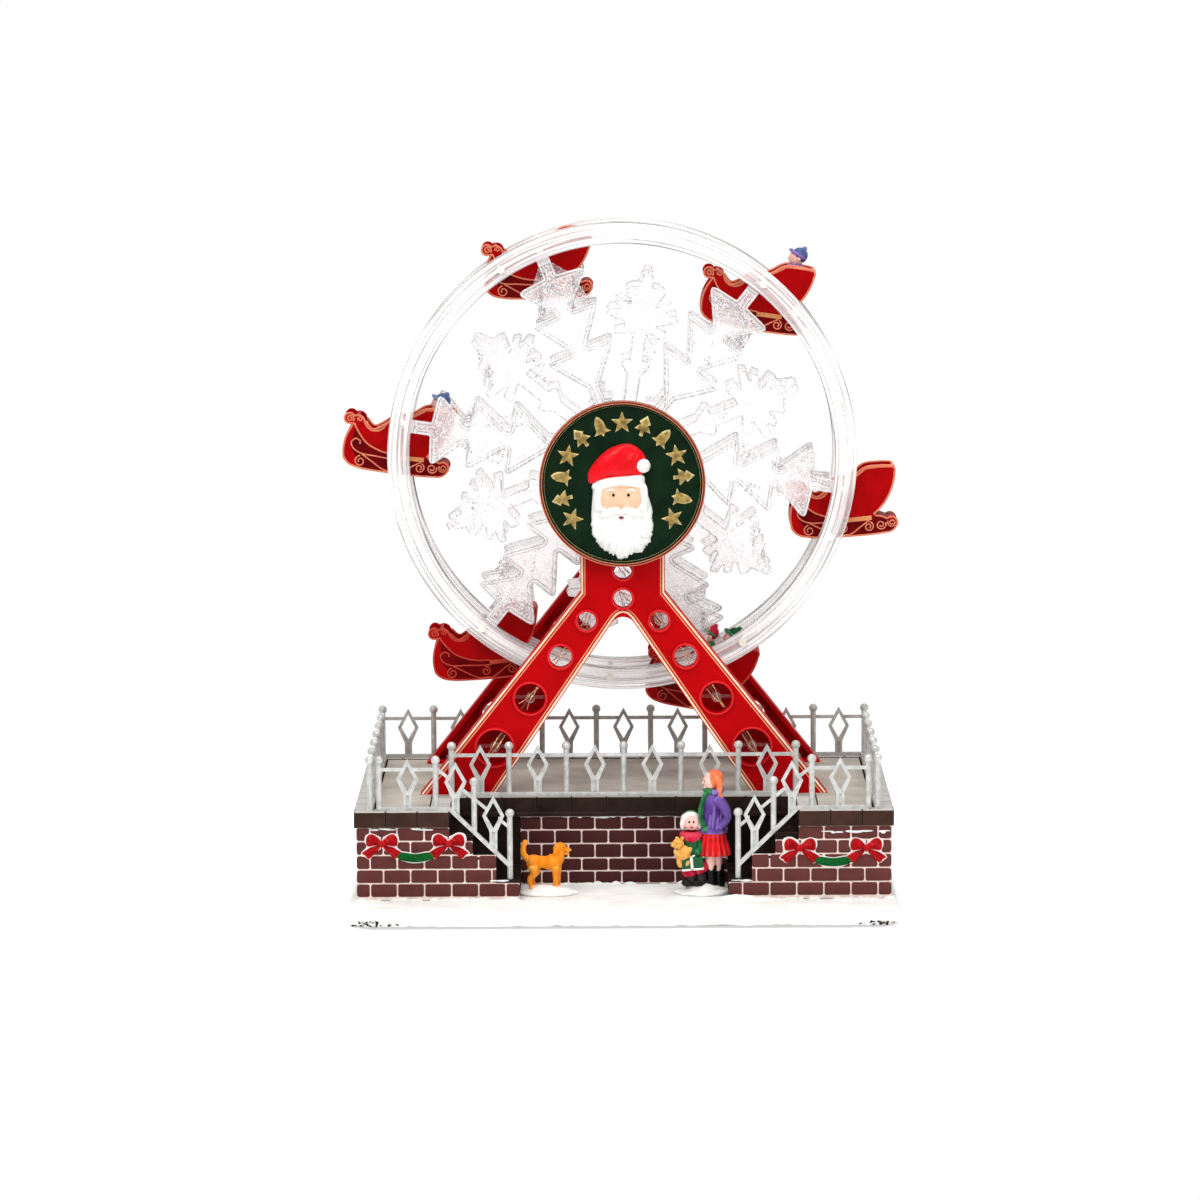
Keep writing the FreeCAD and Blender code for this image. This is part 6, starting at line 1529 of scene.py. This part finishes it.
SCROLLS = (([(-20.9, -1.6), (-18.6, -5.6), (-14.7, -10.1), (-9.4, -12.8), (-4.6, -14.0), (0.4, -14.4)], 0.38),
           ([(-17.6, -10.8), (-17.7, -9.4), (-19.6, -8.5), (-21.5, -10.2), (-20.7, -12.7), (-18.3, -14.4),
             (-15.2, -15.3), (-10.7, -15.6), (-5.4, -16.2), (0.4, -16.6)], 0.34),
           ([(-16.2, -15.4), (-12.2, -17.9), (-7.6, -20.8), (-4.2, -22.2)], 0.34),
           ([(10.4, -16.5), (6.4, -18.9), (2.6, -21.4), (-0.4, -22.4)], 0.34))
CURLS = (((-16.9, -18.5), 2.5, 0.7, 95, 1.35, 0.32), ((-1.8, -19.2), 2.1, 0.6, 90, -1.3, 0.3),
         ((9.9, -19.3), 2.2, 0.6, 70, -1.4, 0.32), ((15.4, -19.0), 2.3, 0.6, 20, -1.5, 0.32),
         ((20.3, -18.6), 1.9, 0.5, 150, 1.5, 0.32), ((-22.8, 0.2), 1.7, 0.4, -40, 1.4, 0.32),
         ((-18.4, 0.2), 1.2, 0.3, 200, -1.2, 0.28))


def sleigh_trim():
    """Outline, scrolls, gold strip and dark panel of one side, in the sleigh's own plane."""
    lines, bars, panel = bmesh.new(), bmesh.new(), bmesh.new()
    outline = shrink(side_outline(), 0.4)
    routes = [(outline, 0.42, True)]
    routes += [(flat_line(points, 5), radius, False) for points, radius in SCROLLS]
    routes += [(spiral(*curl), radius, False) for *curl, radius in CURLS]
    for route, radius, closed in routes:
        add_tube(lines, [(x, -SLEIGH_HALF - 0.05, z) for x, z in route], radius, 7, 0.55, (0, 1, 0), closed)
    add_block(bars, (0.2, -SLEIGH_HALF - 0.4, -16.5), (11.6, -SLEIGH_HALF + 0.2, -14.5), 0.25)
    add_block(bars, (-4.4, -SLEIGH_HALF - 0.3, -22.9), (0.2, -SLEIGH_HALF + 0.2, -21.7), 0.2)
    border = [(-20.0, -3.2), (-18.3, -6.2), (-14.5, -10.6), (-9.3, -13.2), (-4.5, -14.4), (0.4, -14.8), (12.4, -14.9),
              (16.2, -15.7), (18.2, -16.9), (21.6, -17.6), (21.8, -20.4), (20.0, -21.9), (17.5, -22.4), (8, -22.7),
              (0, -22.5), (-10, -22.0), (-16.4, -21.2), (-19.2, -19.0), (-19.0, -16.2), (-21.0, -13.6), (-22.2, -10.6),
              (-20.9, -8.2), (-20.9, -5.6)]
    add_sheet(panel, border, -SLEIGH_HALF - 0.12)
    return lines, bars, panel


def sleigh_matrix(index):
    angle = radians(SLEIGH_ANGLES[index])
    return (Matrix.Translation((PIVOT_CIRCLE * cos(angle), MIRROR_PLANE,
                                AXLE_HEIGHT + PIVOT_CIRCLE * sin(angle)))
            @ tilted(-SLEIGH_TILTS[index]))


def both_sides(shape):
    """Adds the mirrored copy for the far side."""
    made = bmesh.new()
    other = shape.copy()
    join(made, shape)
    join(made, other, Matrix.Scale(-1, 4, (0, 1, 0)))
    return made


def seat_back_rim(shape):
    """Rounded rims along the top edges of the tub, across the seat back and the dash."""
    for route in ([(-15.9, -0.6), (-12.3, -3.9), (-7.2, -1.2), (-2.4, 2.3), (2.6, 2.4)],
                  [(2.6, 2.4), (5.6, 4.0), (10.6, 7.2), (17.0, 7.5), (23.2, 6.9)]):
        line = smooth_line([(x, 0, z) for x, z in route], 5)
        for side in (-1, 1):
            add_tube(shape, [(p.x, side * (SLEIGH_HALF - 0.7), p.z) for p in line], 0.62, 8)
    add_tube(shape, [(23.4, -SLEIGH_HALF + 0.7, 6.7), (23.4, SLEIGH_HALF - 0.7, 6.7)], 0.66, 8)


def sleighs():
    for index in range(6):
        body = f"sleigh_{index + 1}_body"
        matrix = sleigh_matrix(index)
        lines, bars, panel = sleigh_trim()
        lines = both_sides(lines)
        seat_back_rim(lines)
        line_look = "dull_coral" if index in (4, 5) else "coral"
        bar_look = "dull_coral" if index == 4 else "strip"
        for name, shape, look, slot in ((f"sleigh_{index + 1}_scrolls", lines, line_look, "gold_paint"),
                                        (f"sleigh_{index + 1}_strips", both_sides(bars), bar_look, "gold_paint"),
                                        (f"sleigh_{index + 1}_panels", both_sides(panel), "dark_red", "sleigh_red")):
            bmesh.ops.transform(shape, matrix=matrix, verts=shape.verts)
            piece(name, shape, look, body, crease=50)


sleighs()

# Riders

FLOOR_LEVEL = -15.4
BENCH_LEVEL = -10.6
RIDERS = {
    2: ((13.6, 10.9, 2.0, "purple", "blue", "purple"),),
    4: ((14.2, 9.4, 2.4, "blue", "blue", "blue"),),
    6: ((0.0, 10.0, 0.8, "pink", "pink", "scarf"), (10.8, 10.0, 0.8, "scarf", "scarf", "scarf")),
}


def rider(number, place, seat, head, lean, coat_look, cap_look, wrap_look, replaced):
    body = f"sleigh_{number}_body"
    matrix = sleigh_matrix(number - 1)
    floor = BENCH_LEVEL if seat > 5 else FLOOR_LEVEL
    top = seat + lean
    parts = {"coat": (bmesh.new(), coat_look), "skin": (bmesh.new(), "pale_skin"), "cap": (bmesh.new(), cap_look),
             "wrap": (bmesh.new(), wrap_look), "eyes": (bmesh.new(), "gloss_black"), "boots": (bmesh.new(), "black")}
    coat, skin, cap = parts["coat"][0], parts["skin"][0], parts["cap"][0]
    add_loft(coat, [(seat, 0, floor, 4.6, 4.9), (seat, 0, floor + 3, 4.7, 5.0),
                    (seat + lean * 0.3, 0, floor + 9, 4.0, 4.5),
                    (top - 0.4, 0, head - 5.2, 3.2, 4.0), (top - 0.3, 0, head - 3.4, 2.2, 2.6)], 26)
    for side in (-1, 1):
        arm = [(top - 0.8, side * 3.8, head - 6.0), (seat - 2.8, side * 4.6, head - 9.5),
               (seat - 5.4, side * 3.4, head - 10.8)]
        add_tube(coat, smooth_line(arm, 5), 1.5, 12)
        add_ball(skin, (seat - 6.2, side * 3.1, head - 10.9), 1.15)
        leg = [(seat - 1.5, side * 2.0, floor + 2.2), (seat - 6.4, side * 2.1, floor + 2.4),
               (seat - 8.2, side * 2.1, floor + 0.4), (seat - 8.4, side * 2.1, FLOOR_LEVEL + 1.4)]
        add_tube(coat, smooth_line(leg, 5), 1.9, 12)
        add_ball(parts["boots"][0], (seat - 8.9, side * 2.1, FLOOR_LEVEL + 1.2), (2.0, 1.3, 1.2))
        add_ball(parts["eyes"][0], (top - 3.5, side * 1.35, head + 0.5), (0.3, 0.32, 0.36))
        add_ball(skin, (top + 0.4, side * 3.3, head - 0.1), (0.9, 0.6, 1.0))
    add_ball(skin, (top - 0.6, 0, head), (3.5, 3.4, 3.7), detail=3)
    add_ball(skin, (top - 4.0, 0, head - 0.4), (0.6, 0.55, 0.5))
    add_ball(cap, (top + 0.9, 0, head + 1.5), (3.5, 3.8, 3.5), tilted(25), 3,
             lambda co: 0.03 * noise.noise(co * 5))
    brim = circle(24, lambda turn: (top - 0.1 + 3.5 * cos(turn), 3.75 * sin(turn), head + 1.8 - 1.7 * cos(turn)))
    add_tube(parts["wrap"][0], brim, 0.7, 8, closed=True)
    add_ball(cap, (top + 2.6, 0, head + 4.6), 1.1)
    collar = circle(24, lambda turn: (top - 0.5 + 2.8 * cos(turn), 2.9 * sin(turn), head - 3.7))
    add_tube(parts["wrap"][0], collar, 1.1, 8, closed=True)
    add_ball(parts["wrap"][0], (top - 3.6, -1.6, head - 4.4), (1.3, 1.1, 1.0))
    for name, (shape, look) in parts.items():
        bmesh.ops.transform(shape, matrix=matrix, verts=shape.verts)
        piece(f"rider_{number}_{place}_{name}", shape, look, body,
              replaced=replaced if name == "coat" else (), crease=60)


for number, seats in RIDERS.items():
    for place, entry in enumerate(seats):
        rider(number, place, *entry, (f"riders_{number}",))

# Wheel relief

FLAKE_FRONT = 1.65
LONG_ARM = ((20.0, 2.9, 0.6), (25.2, 6.2, 1.0), (26.6, 5.4, 0.8), (27.2, 2.9, 0.6), (34.0, 2.9, 0.8),
            (51.4, 16.8, 2.2), (51.4, 4.2, 0.6), (52.8, 4.4, 0.4), (69.2, 16.4, 2.2), (69.2, 4.0, 0.6),
            (71.2, 4.2, 0.6), (85.0, 17.1, 2.2), (86.4, 2.9, 0.8), (94.6, 2.9, 0.2))
SHORT_ARM = ((36.5, 3.0, 0.6), (41.5, 6.6, 1.0), (43.4, 5.6, 0.9), (44.2, 3.0, 0.6), (56.6, 3.0, 0.5),
             (53.6, 11.2, 1.3), (58.4, 11.6, 1.0), (59.8, 6.4, 0.6), (62.4, 16.6, 1.2), (65.8, 15.0, 1.0),
             (65.6, 10.0, 0.4), (68.2, 13.4, 1.0), (70.6, 10.6, 1.0), (68.2, 5.2, 0.6), (74.6, 9.2, 1.0),
             (76.6, 6.0, 0.8), (76.8, 3.8, 0.5), (84.6, 1.6, 1.0))


def arm_outline(side, start):
    """The closed, rounded edge of an arm, from the corners of one side."""
    corners = [(start, side[0][1], 0.2)] + list(side)
    corners += [(along, -aside, radius) for along, aside, radius in corners[::-1]]
    made = []
    for index, (along, aside, radius) in enumerate(corners):
        corner = Vector((along, aside))
        before = (Vector(corners[index - 1][:2]) - corner).normalized()
        after = (Vector(corners[(index + 1) % len(corners)][:2]) - corner).normalized()
        half = before.angle(after) / 2
        reach = radius / tan(half)
        for step in range(5):
            share = step / 4
            made.append((corner + before * reach * (1 - share) ** 2 + after * reach * share ** 2)[:])
    fine = []
    for a, b in zip(made, made[1:] + made[:1]):
        count = max(1, int(hypot(b[0] - a[0], b[1] - a[1]) / 2.5))
        fine += [(a[0] + (b[0] - a[0]) * step / count, a[1] + (b[1] - a[1]) * step / count) for step in range(count)]
    return fine


def wheel_relief():
    """Raised borders and glitter fields on the flakes, and the thin ribs of the rings."""
    borders, glitter, lines = bmesh.new(), bmesh.new(), bmesh.new()
    for angle in SLEIGH_ANGLES:
        for shift, side, start, border, inset in ((0, LONG_ARM, 14.0, 0.5, 1.25), (30, SHORT_ARM, 15.0, 0.36, 0.95)):
            turn = radians(angle + shift)

            def turned(points):
                return [(x * cos(turn) - z * sin(turn), x * sin(turn) + z * cos(turn) + AXLE_HEIGHT)
                        for x, z in points]

            outline = arm_outline(side, start)
            edge = turned(shrink(outline, border))
            field = turned(shrink(outline, inset))
            ridge = turned(shrink(outline, 1.9)) if shift == 0 else None
            for base, facing in ((FLAKE_FRONT, -1), (2 * MIRROR_PLANE - FLAKE_FRONT, 1)):
                add_tube(borders, [(x, base, z) for x, z in edge], border, 8, 0.7, (0, 1, 0), closed=True)
                if ridge:
                    add_tube(borders, [(x, base, z) for x, z in ridge], 0.3, 6, 0.8, (0, 1, 0), closed=True)
                add_sheet(glitter, field, base + facing * 0.12)
    for radius, thick in ((95.5, 0.3), (97.0, 0.18), (100.9, 0.2), (102.6, 0.16), (104.7, 0.28)):
        for level in (0.75, 5.55, 2 * MIRROR_PLANE - 5.55, 2 * MIRROR_PLANE - 0.75):
            ring = circle(180, lambda turn: (radius * cos(turn), level, AXLE_HEIGHT + radius * sin(turn)))
            add_tube(lines, ring, thick, 6, 0.8, (0, 1, 0), closed=True)
    piece("flake_relief", borders, "border", "wheel", crease=60)
    piece("flake_glitter", glitter, "glitter", "wheel", crease=60)
    piece("ring_ribs", lines, "rib", "wheel", crease=60)


wheel_relief()

# Stage


def wire(tree, nodes, links):
    """Fills a node tree: name: (kind, socket values[, (setting, value)]), and links between their sockets."""
    tree.nodes.clear()
    made = {}
    for name, (kind, values, *settings) in nodes.items():
        made[name] = tree.nodes.new("ShaderNode" + kind)
        for setting in settings:
            setattr(made[name], *setting)
        for socket, value in values.items():
            made[name].inputs[socket].default_value = value
    for source, output, target, socket in links:
        tree.links.new(made[source].outputs[output], made[target].inputs[socket])
    return made


def stage_floor():
    mesh = bpy.data.meshes.new("floor")
    reach = 12
    mesh.from_pydata([(-reach, -reach, 0), (reach, -reach, 0), (reach, reach, 0), (-reach, reach, 0)], [],
                     [(0, 1, 2, 3)])
    floor = bpy.data.objects.new("floor", mesh)
    scene.collection.objects.link(floor)
    material = bpy.data.materials.new("floor_white")
    material.use_nodes = True
    wire(material.node_tree, {
        "out": ("OutputMaterial", {}), "near": ("BsdfDiffuse", {"Color": (0.9, 0.9, 0.9, 1)}),
        "far": ("Emission", {"Color": (1, 1, 1, 1)}), "glow": ("Emission", {"Color": (0.62, 0.62, 0.62, 1)}),
        "both": ("AddShader", {}), "mix": ("MixShader", {}), "place": ("TexCoord", {}),
        "length": ("VectorMath", {}, ("operation", "LENGTH")),
        "span": ("MapRange", {"From Min": 0.16, "From Max": 0.42}),
    }, (("place", "Object", "length", 0), ("length", "Value", "span", "Value"), ("span", "Result", "mix", 0),
        ("near", 0, "both", 0), ("glow", 0, "both", 1), ("both", 0, "mix", 1), ("far", 0, "mix", 2),
        ("mix", 0, "out", "Surface")))
    mesh.materials.append(material)


def stage_world():
    world = bpy.data.worlds.new("studio")
    scene.world = world
    world.use_nodes = True
    made = wire(world.node_tree, {
        "out": ("OutputWorld", {}), "seen": ("Background", {"Color": (1, 1, 1, 1)}),
        "room": ("Background", {"Strength": 0.62}), "mix": ("MixShader", {}), "path": ("LightPath", {}),
        "place": ("TexCoord", {}), "split": ("SeparateXYZ", {}), "ramp": ("ValToRGB", {}),
        "shift": ("MapRange", {"From Min": -1}),
    }, (("place", "Generated", "split", 0), ("split", "Z", "shift", "Value"), ("shift", "Result", "ramp", "Fac"),
        ("ramp", "Color", "room", "Color"), ("path", "Is Camera Ray", "mix", 0), ("room", 0, "mix", 1),
        ("seen", 0, "mix", 2), ("mix", 0, "out", "Surface")))
    stops = made["ramp"].color_ramp.elements
    stops[0].color = (0.75, 0.75, 0.76, 1)
    stops[1].color = (1, 1, 1, 1)
    stops.new(0.48).color = (0.45, 0.45, 0.46, 1)
    stops.new(0.62).color = (0.95, 0.95, 0.95, 1)


LIGHT_TARGET = (0, 0, 0.15)


def stage_light(name, place, size, power):
    data = bpy.data.lights.new(name, "AREA")
    data.shape = "RECTANGLE"
    data.size, data.size_y = size
    data.energy = power
    light = bpy.data.objects.new(name, data)
    scene.collection.objects.link(light)
    light.location = place
    light.rotation_mode = "QUATERNION"
    light.rotation_quaternion = (Vector(LIGHT_TARGET) - Vector(place)).to_track_quat("-Z", "Y")


stage_floor()
stage_world()
stage_light("key_light", (-0.8, -1.5, 1.7), (1.2, 0.9), 21)
stage_light("fill_light", (1.3, -1.6, 0.9), (1.0, 1.0), 8)
stage_light("top_light", (0.1, -0.3, 1.9), (1.4, 1.4), 20)
scene.view_settings.view_transform = "Standard"
